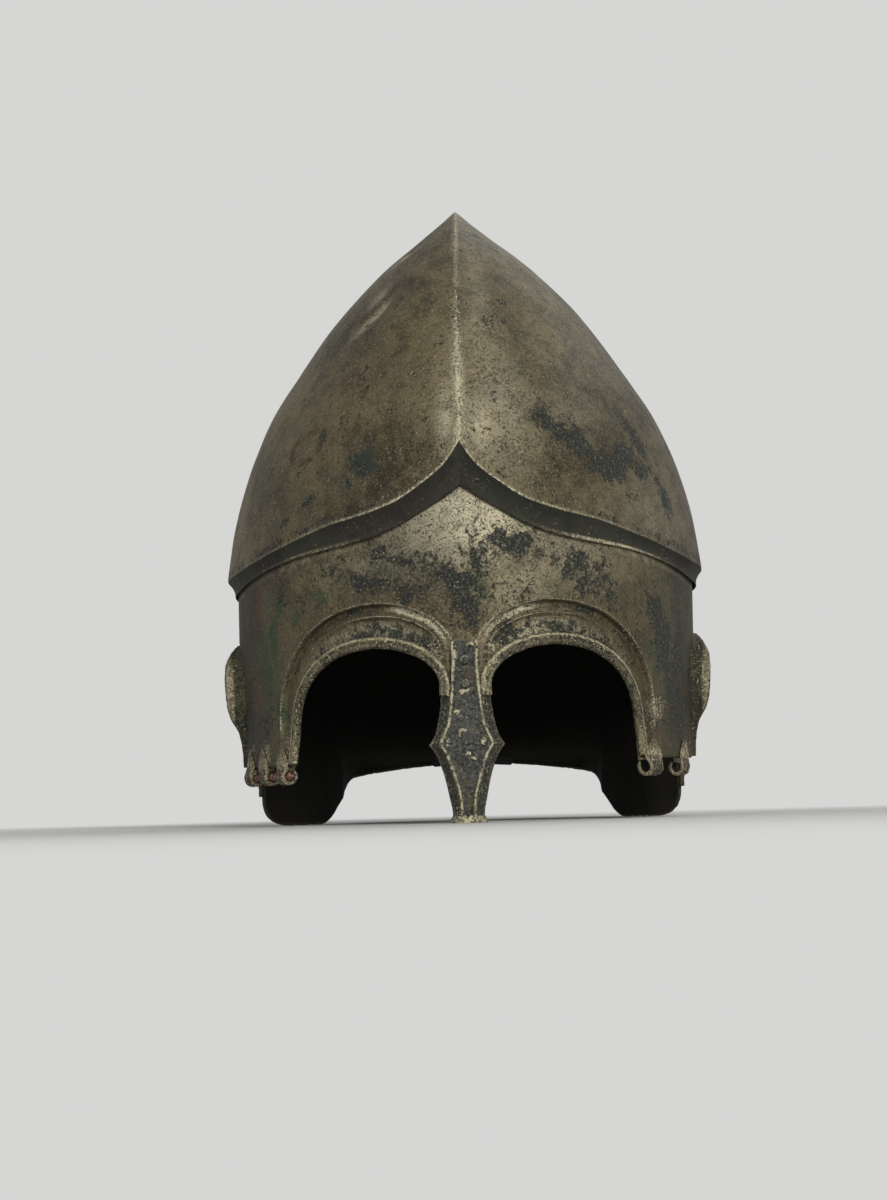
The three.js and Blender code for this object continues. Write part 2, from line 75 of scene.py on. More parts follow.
class Side(Enum):
    """The viewer's left or right, as the sign of x."""

    LEFT = -1
    RIGHT = 1

    @property
    def word(self) -> str:
        """The side as the names of pieces spell it."""
        return self.name.lower()

    def mirror(self, points: Array) -> Array:
        """Carries points that were made on the right over to this side."""
        return points * np.array([self.value, 1, 1])


class Mask(Enum):
    """What a surface carries, point by point, for its finish to read."""

    PATCH = "patch"
    GREEN = "green"
    # Pale crust, and also pale painted highlights on ridges, edges and the crown's corner.
    PALE = "pale"
    RUST = "rust"
    # Rubbed wear, and also painted highlights in the worn tone.
    WORN = "worn"
    # Painted shade: darker under the crown's overhang, where it is partly a dark patina, down the temples, on
    # the knuckles' undersides and at the ear flanges' roots; it also darkens the nasal's side facets.
    BAND = "band"
    # Near-black inner faces and knuckle bores: a dark patina painted near-black as the shade inside.
    INSIDE = "inside"


Masks = dict[Mask, Array]


def smooth(value: Array, low: float, high: float) -> Array:
    """Eases from 0 at low to 1 at high."""
    share = np.clip((value - low) / (high - low), 0.0, 1.0)
    return share * share * (3.0 - 2.0 * share)


def between(low: Array, high: Array, share: Array) -> Array:
    """Goes from low to high as share goes from 0 to 1."""
    return low + (high - low) * share


def hump(value: Array, middle: float, reach: float) -> Array:
    """A round hump of height 1 at middle, gone a little past its reach."""
    return np.exp(-(((value - middle) / reach) ** 2))


def unit(vectors: Array) -> Array:
    """Scales vectors to length 1."""
    return vectors / np.linalg.norm(vectors, axis=-1, keepdims=True)


def turns(start: float, end: float, steps: int) -> Array:
    """Even steps from one angle to another, given in degrees, in radians."""
    return np.radians(np.linspace(start, end, steps))


def peak(*layers: Array) -> Array:
    """The strongest of several layers at each place."""
    return np.max(np.broadcast_arrays(*layers), axis=0)


@dataclass(frozen=True)
class Curve:
    """A smooth curve through given points that never overshoots them."""

    points: tuple[Span, ...]

    def __call__(self, at: Array) -> Array:
        """Reads the curve.

        Args:
            at: Places along the curve; outside its ends it stays level.

        Returns:
            The curve's height at each place.
        """
        x, y = np.array(self.points, float).T
        run = np.diff(x)
        slope = np.diff(y) / run
        product = slope[:-1] * slope[1:]
        total = np.where(product > 0, slope[:-1] + slope[1:], 1.0)
        inner = np.where(product > 0, 2.0 * product / total, 0.0)
        tangent = np.concatenate([slope[:1], inner, slope[-1:]])
        inside = np.clip(at, x[0], x[-1])
        i = np.clip(np.searchsorted(x, inside, side="right") - 1, 0, len(slope) - 1)
        s = (inside - x[i]) / run[i]
        square, cube = s * s, s * s * s
        return (
            (2 * cube - 3 * square + 1) * y[i]
            + (cube - 2 * square + s) * run[i] * tangent[i]
            + (3 * square - 2 * cube) * y[i + 1]
            + (cube - square) * run[i] * tangent[i + 1]
        )


@dataclass(frozen=True)
class Grain:
    """Seeded smooth unevenness in space."""

    seed: int
    reach: float
    depth: float = 1.0
    cells: int = 48

    def at(self, points: Array) -> Array:
        """Reads the unevenness.

        Args:
            points: Places in space, in metres.

        Returns:
            A value for each place, from minus the depth to the depth.
        """
        lattice = np.random.default_rng(self.seed).uniform(-1, 1, (self.cells,) * 3)
        scaled = points / self.reach
        low = np.floor(scaled).astype(int)
        part = scaled - low
        part = part * part * (3 - 2 * part)
        total = np.zeros(points.shape[:-1])
        for corner in np.ndindex(2, 2, 2):
            weight = np.ones(points.shape[:-1])
            for axis, step in enumerate(corner):
                weight = weight * (part[..., axis] if step else 1 - part[..., axis])
            cell = (low + np.array(corner)) % self.cells
            total += weight * lattice[cell[..., 0], cell[..., 1], cell[..., 2]]
        return self.depth * total


@dataclass(frozen=True)
class HelmetForm:
    """The measured surfaces that every piece of the helmet is laid on."""

    sheet: float = 1.5 * MM
    seat_gap: float = 0.3 * MM
    facet_allowance: float = 0.16 * MM
    centre_y: float = 3.0 * MM
    face_half_width: float = 91 * MM
    face_front_reach: float = 117 * MM
    face_rear_reach: float = 107 * MM
    brow_height: float = 60 * MM
    brow_lean: float = 4 * MM
    lean_limit: float = 2.0
    apex_height: float = 244.4 * MM
    crown_base_height: float = 98 * MM
    crown_half_width: float = 95 * MM
    crown_front_reach: float = 122 * MM
    crown_rear_reach: float = 113.5 * MM
    keel_depth: float = 12 * MM
    rim_keel_depth: float = 5 * MM
    crown_profile_power: float = 2.1
    rim_cusp_height: float = 137 * MM
    rim_side_height: float = 97.5 * MM
    hem_cusp_height: float = 121 * MM
    hem_side_height: float = 90.5 * MM
    lap_height: float = 8 * MM
    brow_top_angle: float = 21.0
    brow_inner_angle: float = 2.5
    brow_outer_angle: float = 50.0
    brow_top_height: float = 79.6 * MM
    brow_inner_drop: float = 19 * MM
    brow_outer_drop: float = 40 * MM
    brow_depth: float = 2 * MM
    brow_step: float = 1.5 * MM
    brow_ridge: float = 0.45 * MM
    inner_ridge: float = 1.1 * MM
    ridge_reach: float = 0.5 * MM
    inner_ridge_place: float = 4.6 * MM
    over_eye_hump: Span = (20.0, 15.0)
    roll_height: float = 0.7 * MM
    roll_hump: Span = (2.0 * MM, 1.7 * MM)
    roll_angle_hump: Span = (11.0, 8.0)
    nasal_fade_angle: float = 5.0
    least_reach: float = 0.05
    hinge_line_height: float = 22.2 * MM
    neck_draw: float = 17 * MM
    neck_draw_top: float = 66 * MM
    neck_draw_bottom: float = 20 * MM
    nape_edge_height: float = 25 * MM
    nape_flare: float = 14 * MM
    nape_crease_height: float = 39 * MM
    crown_width: Curve = Curve((
        (0, 1), (0.12, 0.972), (0.26, 0.914), (0.4, 0.825), (0.54, 0.688), (0.68, 0.534), (0.8, 0.358),
        (0.9, 0.163), (1, 0),
    ))
    rim_rise: Curve = Curve((
        (0, 1), (4, 0.775), (8.5, 0.625), (15, 0.46), (23, 0.36), (32, 0.29), (40, 0.21), (50, 0.12),
        (61, 0.04), (71, 0), (180, -0.04),
    ))
    hem_rise: Curve = Curve((
        (0, 1), (4.5, 0.84), (9.5, 0.69), (15, 0.54), (22, 0.42), (31.5, 0.34), (40.6, 0.29), (52, 0.2),
        (63.5, 0.1), (75, 0.02), (90, 0), (180, -0.04),
    ))
    neck_share: Curve = Curve((
        (84, 0), (97, 0.35), (107, 0.95), (122, 1), (140, 0.75), (160, 0.62), (180, 0.6),
    ))
    flare_share: Curve = Curve(((132, 0), (146, 0.75), (156, 1), (180, 1)))

    @property
    def face_arc(self) -> float:
        """Length of one degree round the face."""
        return math.radians(1.0) * self.face_half_width

    def turned(self, angle: Array) -> Array:
        """How far an angle lies from the front, on either side."""
        return np.abs((angle + HALF_TURN) % FULL_TURN - HALF_TURN)

    def rim_height(self, angle: Array) -> Array:
        """Height of the crown's overhanging corner."""
        return between(self.rim_side_height, self.rim_cusp_height, self.rim_rise(self.turned(angle)))

    def hem_height(self, angle: Array) -> Array:
        """Height of the lower edge of the slope under the crown's corner."""
        return between(self.hem_side_height, self.hem_cusp_height, self.hem_rise(self.turned(angle)))

    def oval(self, angle: Array, half_width: Array, front: Array, rear: Array, z: Array) -> Array:
        """Places points on an oval with its own reach at each end.

        Args:
            angle: Angles.
            half_width: Half width.
            front: Reach of the front half.
            rear: Reach of the rear half.
            z: Heights.

        Returns:
            Points.
        """
        turn = np.radians(angle)
        reach = np.where(np.cos(turn) > 0, front, rear)
        x = half_width * np.sin(turn)
        y = self.centre_y - reach * np.cos(turn)
        return np.stack(np.broadcast_arrays(x, y, z), axis=-1)

    def brow_inside(self, angle: Array, z: Array) -> Array:
        """How far inside the brow's arch each place lies.

        Args:
            angle: Angles.
            z: Heights.

        Returns:
            Distances, below 0 outside the arch.
        """
        turned = self.turned(angle)
        inner = turned < self.brow_top_angle
        inner_half = (self.brow_top_angle - self.brow_inner_angle) * self.face_arc
        outer_half = (self.brow_outer_angle - self.brow_top_angle) * self.face_arc
        half = np.where(inner, inner_half, outer_half)
        drop = np.where(inner, self.brow_inner_drop, self.brow_outer_drop)
        across = (turned - self.brow_top_angle) * self.face_arc / half
        up = np.maximum(0.0, z - (self.brow_top_height - drop)) / drop
        reach = np.maximum(np.hypot(across, up), self.least_reach)
        slope = np.hypot(across / half, up / drop) / reach
        return (1.0 - reach) / np.maximum(slope, 1.0 / self.face_half_width)

    def above_legs(self, z: Array) -> Array:
        """Fades the brow's relief out down the legs of its arch, from 1 to 0."""
        return smooth(z, self.hinge_line_height, self.brow_top_height - self.brow_outer_drop)

    def over_eye(self, turned: Array) -> Array:
        """How strongly the inner ridge stands out at each angle, from 0 to 1."""
        return hump(turned, *self.over_eye_hump)

    def roll(self, inside: Array, turned: Array) -> Array:
        """The brow's broad roll beside the nose, from 0 to 1."""
        return hump(inside, *self.roll_hump) * hump(turned, *self.roll_angle_hump)

    def brow_sink(self, angle: Array, z: Array) -> Array:
        """How deep the brow is sunk inside its arch, less the ridges and the roll raised along it.

        Args:
            angle: Angles.
            z: Heights.

        Returns:
            Depths.
        """
        inside = self.brow_inside(angle, z)
        turned = self.turned(angle)
        near_nasal = smooth(turned, self.nasal_fade_angle, 2 * self.nasal_fade_angle)
        step = self.brow_depth * smooth(inside, 0.0, self.brow_step)
        outer = self.brow_ridge * hump(inside, 0.0, self.ridge_reach)
        line = hump(inside, self.inner_ridge_place, self.ridge_reach)
        inner = self.inner_ridge * self.over_eye(turned) * line
        raised = self.roll_height * self.roll(inside, turned)
        return (step - outer - inner - raised) * self.above_legs(z) * near_nasal

    def shell(self, angle: Array, z: Array) -> Array:
        """Outside of the lower shell.

        Args:
            angle: Angles.
            z: Heights.

        Returns:
            Points.
        """
        turned = self.turned(angle)
        lean = self.brow_lean * np.clip((z - self.brow_height) / self.brow_height, 0.0, self.lean_limit)
        drawn = 1.0 - smooth(z, self.neck_draw_bottom, self.neck_draw_top)
        draw = self.neck_draw * self.neck_share(turned) * drawn
        fall = (self.nape_crease_height - z) / (self.nape_crease_height - self.nape_edge_height)
        flare = self.nape_flare * self.flare_share(turned) * np.clip(fall, 0.0, 1.0) ** 2
        out = flare - draw - self.brow_sink(angle, z)
        front = self.face_front_reach - lean + out
        return self.oval(angle, self.face_half_width + out, front, self.face_rear_reach + out, z)

    def crown(self, angle: Array, z: Array) -> Array:
        """Outside of the crown: an oval with a keel in front and behind.

        Args:
            angle: Angles.
            z: Heights.

        Returns:
            Points.
        """
        rise = (z - self.crown_base_height) / (self.apex_height - self.crown_base_height)
        share = np.clip(rise, 0.0, 1.0)
        width = self.crown_half_width * self.crown_width(share)
        full = np.sqrt(1 - share**self.crown_profile_power)
        keel = between(self.rim_keel_depth, self.keel_depth, share) * full
        front = self.crown_front_reach * full - keel
        points = self.oval(angle, width, front, self.crown_rear_reach * full - keel, z)
        turn = np.radians(angle)
        points[..., 1] -= np.sign(np.cos(turn)) * keel * (1 - np.abs(np.sin(turn)))
        return points

    def slopes(self, surface: Surface, angle: Array, z: Array) -> tuple[Array, Array]:
        """How a surface runs on from each place, over two probes of angle and two of height."""
        around = surface(angle + ANGLE_PROBE, z) - surface(angle - ANGLE_PROBE, z)
        up = surface(angle, z + HEIGHT_PROBE) - surface(angle, z - HEIGHT_PROBE)
        return around, up

    def outward(self, surface: Surface, angle: Array, z: Array) -> Array:
        """Outward directions of a surface."""
        return unit(np.cross(*self.slopes(surface, angle, z)))


@dataclass(frozen=True)
class Patch:
    """An uneven patch of patina on the wrapped surface, by its place and half sizes."""

    angle: float
    height: float
    half_width: float
    half_height: float
    tilt: float
    strength: float
    ring_share: float = 0.28

    def reach(self, angle: Array, z: Array, arc: Array) -> Array:
        """How far each place lies from the patch's middle.

        Args:
            angle: Angles.
            z: Heights.
            arc: Length of one degree.

        Returns:
            Distances, as shares of the half sizes.
        """
        turn = math.radians(self.tilt)
        gap = (angle - self.angle + HALF_TURN) % FULL_TURN - HALF_TURN
        across = gap * arc
        up = z - self.height
        along = (across * math.cos(turn) + up * math.sin(turn)) / self.half_width
        over = (up * math.cos(turn) - across * math.sin(turn)) / self.half_height
        return np.hypot(along, over)

    def cover(self, angle: Array, z: Array, arc: Array) -> Array:
        """How strongly the patch covers each place."""
        return self.strength * np.exp(-(self.reach(angle, z, arc) ** 2))

    def ring(self, angle: Array, z: Array, arc: Array) -> Array:
        """How strongly a stain's ring at the patch's outline covers each place."""
        return self.strength * hump(self.reach(angle, z, arc), 1.0, self.ring_share)


def patches(*rows: Row) -> tuple[Patch, ...]:
    """Patches from rows of angle, height, half width, half height, tilt and strength, in millimetres."""
    return tuple(
        Patch(angle, height * MM, half_width * MM, half_height * MM, tilt, strength)
        for angle, height, half_width, half_height, tilt, strength in rows
    )


@dataclass(frozen=True)
class Patina:
    """The patches that a sheet carries, by mask."""

    patch: tuple[Patch, ...] = ()
    green: tuple[Patch, ...] = ()
    pale: tuple[Patch, ...] = ()
    rust: tuple[Patch, ...] = ()
    worn: tuple[Patch, ...] = ()

    def covers(self, angle: Array, z: Array, arc: Array) -> Masks:
        """The strongest cover of each kind of patch at each place; arc is the length of one degree."""
        return {
            mask: peak(*(patch.cover(angle, z, arc) for patch in group))
            for mask in Mask if (group := getattr(self, mask.value, ()))
        }


def grid_faces(columns: int, rows: int, ring: bool, loop: bool) -> Array:
    """Four-sided faces over a grid whose points are stored column by column.

    Args:
        columns: Number of columns.
        rows: Number of points in a column.
        ring: Whether the last column joins the first.
        loop: Whether the last point of a column joins its first.

    Returns:
        Point numbers, four to a face.
    """
    c = np.arange(columns if ring else columns - 1)[:, None]
    r = np.arange(rows if loop else rows - 1)[None, :]
    here, beside = c * rows, ((c + 1) % columns) * rows
    above = (r + 1) % rows
    return np.stack([here + r, beside + r, beside + above, here + above], axis=-1).reshape(-1, 4)


def put(name: str, data: bpy.types.ID) -> Piece:
    """Puts new data into the scene as an object."""
    piece = bpy.data.objects.new(name, data)
    bpy.context.scene.collection.objects.link(piece)
    return piece


def lay_mesh(name: str, points: Array, faces: Sequence[Sequence[int]], masks: Masks) -> Piece:
    """Makes a smooth closed mesh with its masks, its coinciding points joined.

    Args:
        name: Name of the piece.
        points: Places in metres.
        faces: Point numbers of each face.
        masks: Values for each point, by mask.

    Returns:
        The new object.
    """
    mesh = bpy.data.meshes.new(name)
    mesh.from_pydata(points.reshape(-1, 3).tolist(), [], [list(face) for face in faces])
    for mask in Mask:
        values = np.broadcast_to(masks.get(mask, np.zeros(1)), points.shape[:-1])
        attribute = mesh.attributes.new(mask.value, "FLOAT", "POINT")
        attribute.data.foreach_set("value", np.clip(values, 0, 1).astype(np.float32).ravel())
    shape = bmesh.new()
    shape.from_mesh(mesh)
    bmesh.ops.remove_doubles(shape, verts=shape.verts, dist=WELD_REACH)
    bmesh.ops.dissolve_degenerate(shape, edges=shape.edges, dist=WELD_REACH)
    bmesh.ops.recalc_face_normals(shape, faces=shape.faces)
    shape.to_mesh(mesh)
    shape.free()
    mesh.shade_smooth()
    return put(name, mesh)


def sweep(name: str, sections: Array, masks: Masks) -> Piece:
    """Joins closed sections into one solid with a face at each end.

    Args:
        name: Name of the piece.
        sections: Points, section by section.
        masks: Values for each point, by mask.

    Returns:
        The new object.
    """
    count, size = sections.shape[:2]
    faces = grid_faces(count, size, False, True).tolist()
    faces.append(list(range(size))[::-1])
    faces.append([(count - 1) * size + i for i in range(size)])
    return lay_mesh(name, sections, faces, masks)


def settle(piece: Piece, material: Material, node: str, body: str = "helmet") -> Piece:
    """Dresses a finished piece, and lets it ride on its body and stand for its solid.

    Args:
        piece: The piece.
        material: Its material.
        node: Solid that it stands for.
        body: Body that carries it.

    Returns:
        The piece.
    """
    piece.data.materials.append(material)
    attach(piece, body)
    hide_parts(node)
    return piece


@dataclass(frozen=True)
class Tone:
    """A colour as it is written, from 0 to 255."""

    red: int
    green: int
    blue: int

    def linear(self) -> tuple[float, float, float, float]:
        """The colour as a shader takes it."""
        parts = np.array([self.red, self.green, self.blue]) / 255.0
        low = parts / 12.92
        high = ((parts + 0.055) / 1.055) ** 2.4
        return (*np.where(parts <= 0.04045, low, high).tolist(), 1.0)


class NodeBench:
    """Lays out the nodes of one material or of the world."""

    def __init__(self, owner: Material | bpy.types.World) -> None:
        """Takes the new nodes of a material or of the world in hand."""
        owner.use_nodes = True
        self.owner = owner
        self.tree = owner.node_tree

    @cached_property
    def place(self) -> Socket:
        """Coordinates that the object carries with it."""
        return self.tree.nodes.new("ShaderNodeTexCoord").outputs["Object"]

    def feed(self, socket: Socket, value: object) -> None:
        """Links a socket to another, or sets it."""
        if isinstance(value, bpy.types.NodeSocket):
            self.tree.links.new(value, socket)
        elif isinstance(value, Tone):
            socket.default_value = value.linear()
        else:
            socket.default_value = value

    def fill(self, node: bpy.types.Node, inputs: dict[str | int, object]) -> bpy.types.Node:
        """Feeds several sockets of a node."""
        for name, value in inputs.items():
            self.feed(node.inputs[name], value)
        return node

    def lay(self, kind: str, inputs: dict[str | int, object]) -> bpy.types.Node:
        """Lays out a new node and feeds it."""
        return self.fill(self.tree.nodes.new(f"ShaderNode{kind}"), inputs)

    def mask(self, mask: Mask) -> Socket:
        """Reads one of the piece's masks."""
        node = self.lay("Attribute", {})
        node.attribute_name = mask.value
        return node.outputs["Fac"]

    def stretched(self, stretch: Place, turn: Place) -> Socket:
        """The object's coordinates, turned and then stretched."""
        mapped = self.lay("Mapping", {"Vector": self.place, "Rotation": turn, "Scale": stretch})
        return mapped.outputs["Vector"]

    def noise(self, scale: float, detail: float, roughness: float, distortion: float,
              place: Socket | None = None) -> Socket:
        """Cloudy noise at a place, or else at the object's own coordinates."""
        inputs = {"Scale": scale, "Detail": detail, "Roughness": roughness, "Distortion": distortion}
        return self.lay("TexNoise", {"Vector": place or self.place, **inputs}).outputs["Fac"]

    def reckon(self, operation: str, *values: object) -> Socket:
        """One step of arithmetic on two or three values."""
        node = self.lay("Math", dict(enumerate(values)))
        node.operation = operation
        return node.outputs["Value"]

    def most(self, first: Socket, *others: Socket) -> Socket:
        """The greatest of several values."""
        for other in others:
            first = self.reckon("MAXIMUM", first, other)
        return first

    def window(self, value: Socket, low: float, high: float, start: float = 0.0, end: float = 1.0) -> Socket:
        """Eases a value from start to end as it goes from low to high."""
        limits = {"From Min": low, "From Max": high, "To Min": start, "To Max": end}
        node = self.lay("MapRange", {"Value": value, **limits})
        node.interpolation_type = "SMOOTHSTEP"
        return node.outputs["Result"]

    def blend(self, share: Socket, first: object, second: object) -> Socket:
        """Mixes two colours."""
        node = self.lay("Mix", {})
        node.data_type = "RGBA"
        return self.fill(node, {"Factor": share, 6: first, 7: second}).outputs[2]

    def weigh(self, share: object, first: object, second: object) -> Socket:
        """Mixes two values."""
        return self.lay("Mix", {"Factor": share, 2: first, 3: second}).outputs[0]

    def mean(self, first: object, second: object) -> Socket:
        """The mean of two values."""
        return self.weigh(0.5, first, second)

    def patchy(self, mask: Mask, breakup: Socket, gain: float, edge: float) -> Socket:
        """Breaks a soft mask up with noise into a patch with an uneven, crisp edge."""
        shifted = self.reckon("MULTIPLY_ADD", breakup, gain, -gain / 2)
        moved = self.reckon("ADD", self.mask(mask), shifted)
        return self.window(moved, 0.5 - edge, 0.5 + edge)

    def relief(self, height: Socket, depth: float, under: Socket | None = None) -> Socket:
        """The shading normal of fine relief, by its height and its depth in metres, on top of another."""
        node = self.lay("Bump", {"Height": height, "Distance": depth})
        if under is not None:
            self.feed(node.inputs["Normal"], under)
        return node.outputs["Normal"]

    def seen(self) -> Socket:
        """1 for what the camera sees, directly, mirrored or through glass, and 0 for the light that falls."""
        rays = self.lay("LightPath", {}).outputs
        return self.most(rays["Is Camera Ray"], rays["Is Glossy Ray"], rays["Is Transmission Ray"])

    def show(self, share: Socket, plain: Socket, shown: Socket, output: str) -> None:
        """Mixes two shaders by a share and leads them to the output node of that name."""
        mixed = self.lay("MixShader", {0: share, 1: plain, 2: shown})
        self.feed(self.tree.nodes[output].inputs["Surface"], mixed.outputs["Shader"])


@dataclass(frozen=True)
class Clouds:
    """The noises of one finish, from the broadest to the finest, and its long scratches."""

    cloud: Socket
    mottle: Socket
    stipple: Socket
    speck: Socket
    grain: Socket
    hair: Socket


@dataclass(frozen=True)
class AgedBronze:
    """Old sheet bronze: worn metal with mottling, pits, scratches, dark and green patina and pale crust, with
    painted shade and painted highlights laid on through its masks.

    A noise holds its scale, detail, roughness and distortion. An edge holds how far noise moves a patch's
    edge, and how soft the edge is. A window holds where a noise starts and stops to show.
    """

    name: str
    low_tone: Tone = Tone(46, 40, 26)
    high_tone: Tone = Tone(106, 95, 68)
    grey_tone: Tone = Tone(76, 71, 57)
    olive_tone: Tone = Tone(55, 58, 38)
    worn_and_highlight_tone: Tone = Tone(172, 164, 138)
    # Rubbed metal, and the painted highlights.
    patch_tone: Tone = Tone(28, 29, 24)
    flake_tone: Tone = Tone(86, 90, 76)
    pit_tone: Tone = Tone(32, 28, 20)
    green_tone: Tone = Tone(42, 72, 44)
    fringe_tone: Tone = Tone(58, 60, 40)
    # Pale crust, and the pale painted highlights.
    pale_tone: Tone = Tone(196, 188, 156)
    rust_tone: Tone = Tone(92, 60, 48)
    # The painted shade's colour, partly a dark patina under the crown.
    shade_and_patina_tone: Tone = Tone(46, 41, 30)
    # Near-black, the painted shade inside.
    inside_shade_tone: Tone = Tone(15, 13, 10)
    cloud_noise: Row = (24.0, 5.0, 0.55, 0.4)
    mottle_noise: Row = (130.0, 8.0, 0.7, 0.4)
    cluster_noise: Row = (150.0, 6.0, 0.7, 0.8)
    stipple_noise: Row = (460.0, 8.0, 0.8, 0.4)
    grain_noise: Row = (1200.0, 3.0, 0.75, 0.0)
    scratch_noise: Row = (50.0, 4.0, 0.65, 0.2)
    grey_noise: Row = (40.8, 6.0, 0.6, 1.0)
    olive_noise: Row = (62.4, 6.0, 0.7, 1.0)
    stretch: Place = (1.0, 14.0, 22.0)
    stretch_turn: Place = (0.5, 0.35, 0.2)
    mottle_window: Span = (0.36, 0.62)
    grey_window: Span = (0.48, 0.7)
    olive_window: Span = (0.5, 0.66)
    rub_window: Span = (0.36, 0.6)
    fleck_window: Span = (0.54, 0.7)
    pit_window: Span = (0.41, 0.465)
    # Mottling of the painted shade.
    shade_and_patina_window: Span = (0.4, 0.54)
    shade_and_patina_fringe_window: Span = (0.5, 0.62)
    flake_window: Span = (0.5, 0.62)
    rust_edge: Span = (4.6, 0.2)
    fringe_edge: Span = (4.8, 0.3)
    green_edge: Span = (4.6, 0.2)
    dark_edge: Span = (5.6, 0.12)
    crust_edge: Span = (4.6, 0.16)
    rub_least: float = 0.4
    fringe_strength: float = 0.5
    flakes: float = 0.8
    speckle: float = 0.52
    fleck: float = 0.36
    tint: float = 0.42
    metal: float = 0.55
    crust_metal: float = 0.05
    worn_roughness: float = 0.44
    dull_roughness: float = 0.62
    crust_roughness: float = 0.85
    mottle_depth: float = 0.3 * MM
    grain_depth: float = 0.14 * MM
    crust_depth: float = 0.16 * MM

    def clouds(self, bench: NodeBench) -> Clouds:
        """Lays out the finish's noises."""
        cluster = bench.noise(*self.cluster_noise)
        stipple = bench.mean(cluster, bench.noise(*self.stipple_noise))
        grain = bench.noise(*self.grain_noise)
        drawn = bench.stretched(self.stretch, self.stretch_turn)
        return Clouds(
            cloud=bench.noise(*self.cloud_noise),
            mottle=bench.noise(*self.mottle_noise),
            stipple=stipple,
            speck=bench.mean(grain, stipple),
            grain=grain,
            hair=bench.noise(*self.scratch_noise, drawn),
        )

    def bare_metal(self, bench: NodeBench, clouds: Clouds) -> tuple[Socket, Socket, Socket]:
        """Colours the metal: mottled and tinted, rubbed pale where worn and where highlights are painted,
        flecked and pitted.

        Args:
            bench: The material's nodes.
            clouds: Its noises.

        Returns:
            The colour, where the metal is rubbed or carries a painted highlight, and where it is pitted.
        """
        mottled = bench.window(bench.mean(clouds.cloud, clouds.mottle), *self.mottle_window)
        colour = bench.blend(mottled, self.low_tone, self.high_tone)
        tints = (
            (self.grey_tone, self.grey_noise, self.grey_window),
            (self.olive_tone, self.olive_noise, self.olive_window),
        )
        for tone, noise, window in tints:
            tinted = bench.window(bench.noise(*noise), *window, 0.0, self.tint)
            colour = bench.blend(tinted, colour, tone)
        rubbed = bench.window(bench.mean(clouds.mottle, clouds.grain), *self.rub_window, self.rub_least, 1.0)
        # Rubbed wear and painted highlights, broken up by noise.
        worn = bench.reckon("MULTIPLY", bench.mask(Mask.WORN), rubbed)
        colour = bench.blend(worn, colour, self.worn_and_highlight_tone)
        flecked = bench.window(clouds.grain, *self.fleck_window, 0.0, self.fleck)
        colour = bench.blend(flecked, colour, self.worn_and_highlight_tone)
        pits = bench.window(clouds.speck, *self.pit_window, self.speckle, 0.0)
        return bench.blend(pits, colour, self.pit_tone), worn, pits

    def patina(self, bench: NodeBench, clouds: Clouds, colour: Socket) -> tuple[Socket, ...]:
        """Lays the patina, the painted shade and the painted highlights over the metal, from the painted
        shade on the slope under the crown to the near-black inside, which is painted shade too.

        Args:
            bench: The material's nodes.
            clouds: Its noises.
            colour: Colour of the metal.

        Returns:
            The colour, where it is dull, where it is dark, and where it is crusted or carries a pale painted
            highlight.
        """
        # Painted shade, mottled brown, partly a dark patina under the crown.
        band = bench.mask(Mask.BAND)
        brown = bench.blend(bench.window(clouds.stipple, *self.shade_and_patina_window), self.patch_tone, self.shade_and_patina_tone)
        shade_and_patina_colour = bench.blend(bench.window(clouds.cloud, *self.shade_and_patina_fringe_window), brown, self.fringe_tone)
        colour = bench.blend(band, colour, shade_and_patina_colour)
        rust = bench.patchy(Mask.RUST, clouds.stipple, *self.rust_edge)
        colour = bench.blend(rust, colour, self.rust_tone)
        fringe = bench.patchy(Mask.PATCH, clouds.stipple, *self.fringe_edge)
        colour = bench.blend(bench.reckon("MULTIPLY", fringe, self.fringe_strength), colour, self.fringe_tone)
        green = bench.patchy(Mask.GREEN, clouds.stipple, *self.green_edge)
        colour = bench.blend(green, colour, bench.blend(clouds.grain, self.fringe_tone, self.green_tone))
        dark = bench.patchy(Mask.PATCH, clouds.stipple, *self.dark_edge)
        flaked = bench.window(clouds.grain, *self.flake_window, 0.0, self.flakes)
        colour = bench.blend(dark, colour, bench.blend(flaked, self.patch_tone, self.flake_tone))
        # Pale crust, and the pale painted highlights that share its mask.
        crust = bench.patchy(Mask.PALE, clouds.speck, *self.crust_edge)
        colour = bench.blend(crust, colour, self.pale_tone)
        # The inside is painted near-black, as painted shade.
        inside = bench.mask(Mask.INSIDE)
        colour = bench.blend(inside, colour, bench.blend(clouds.mottle, self.inside_shade_tone, self.pit_tone))
        return colour, bench.most(dark, green, crust, inside, band), dark, crust

    def make(self) -> Material:
        """Lays out the finish's nodes.

        Returns:
            The material.
        """
        bench = NodeBench(bpy.data.materials.new(self.name))
        clouds = self.clouds(bench)
        metal_colour, worn, pits = self.bare_metal(bench, clouds)
        colour, dulled, dark, crust = self.patina(bench, clouds, metal_colour)
        rough = bench.weigh(worn, self.dull_roughness, self.worn_roughness)
        rough = bench.weigh(pits, rough, self.crust_roughness)
        relief = bench.relief(clouds.mottle, self.mottle_depth)
        relief = bench.relief(bench.mean(clouds.grain, clouds.hair), self.grain_depth, relief)
        proud = bench.reckon("SUBTRACT", crust, bench.reckon("ADD", pits, dark))
        bench.fill(bench.tree.nodes["Principled BSDF"], {
            "Base Color": colour,
            "Metallic": bench.weigh(dulled, self.metal, self.crust_metal),
            "Roughness": bench.weigh(dulled, rough, self.crust_roughness),
            "Normal": bench.relief(proud, self.crust_depth, relief),
        })
        return bench.owner


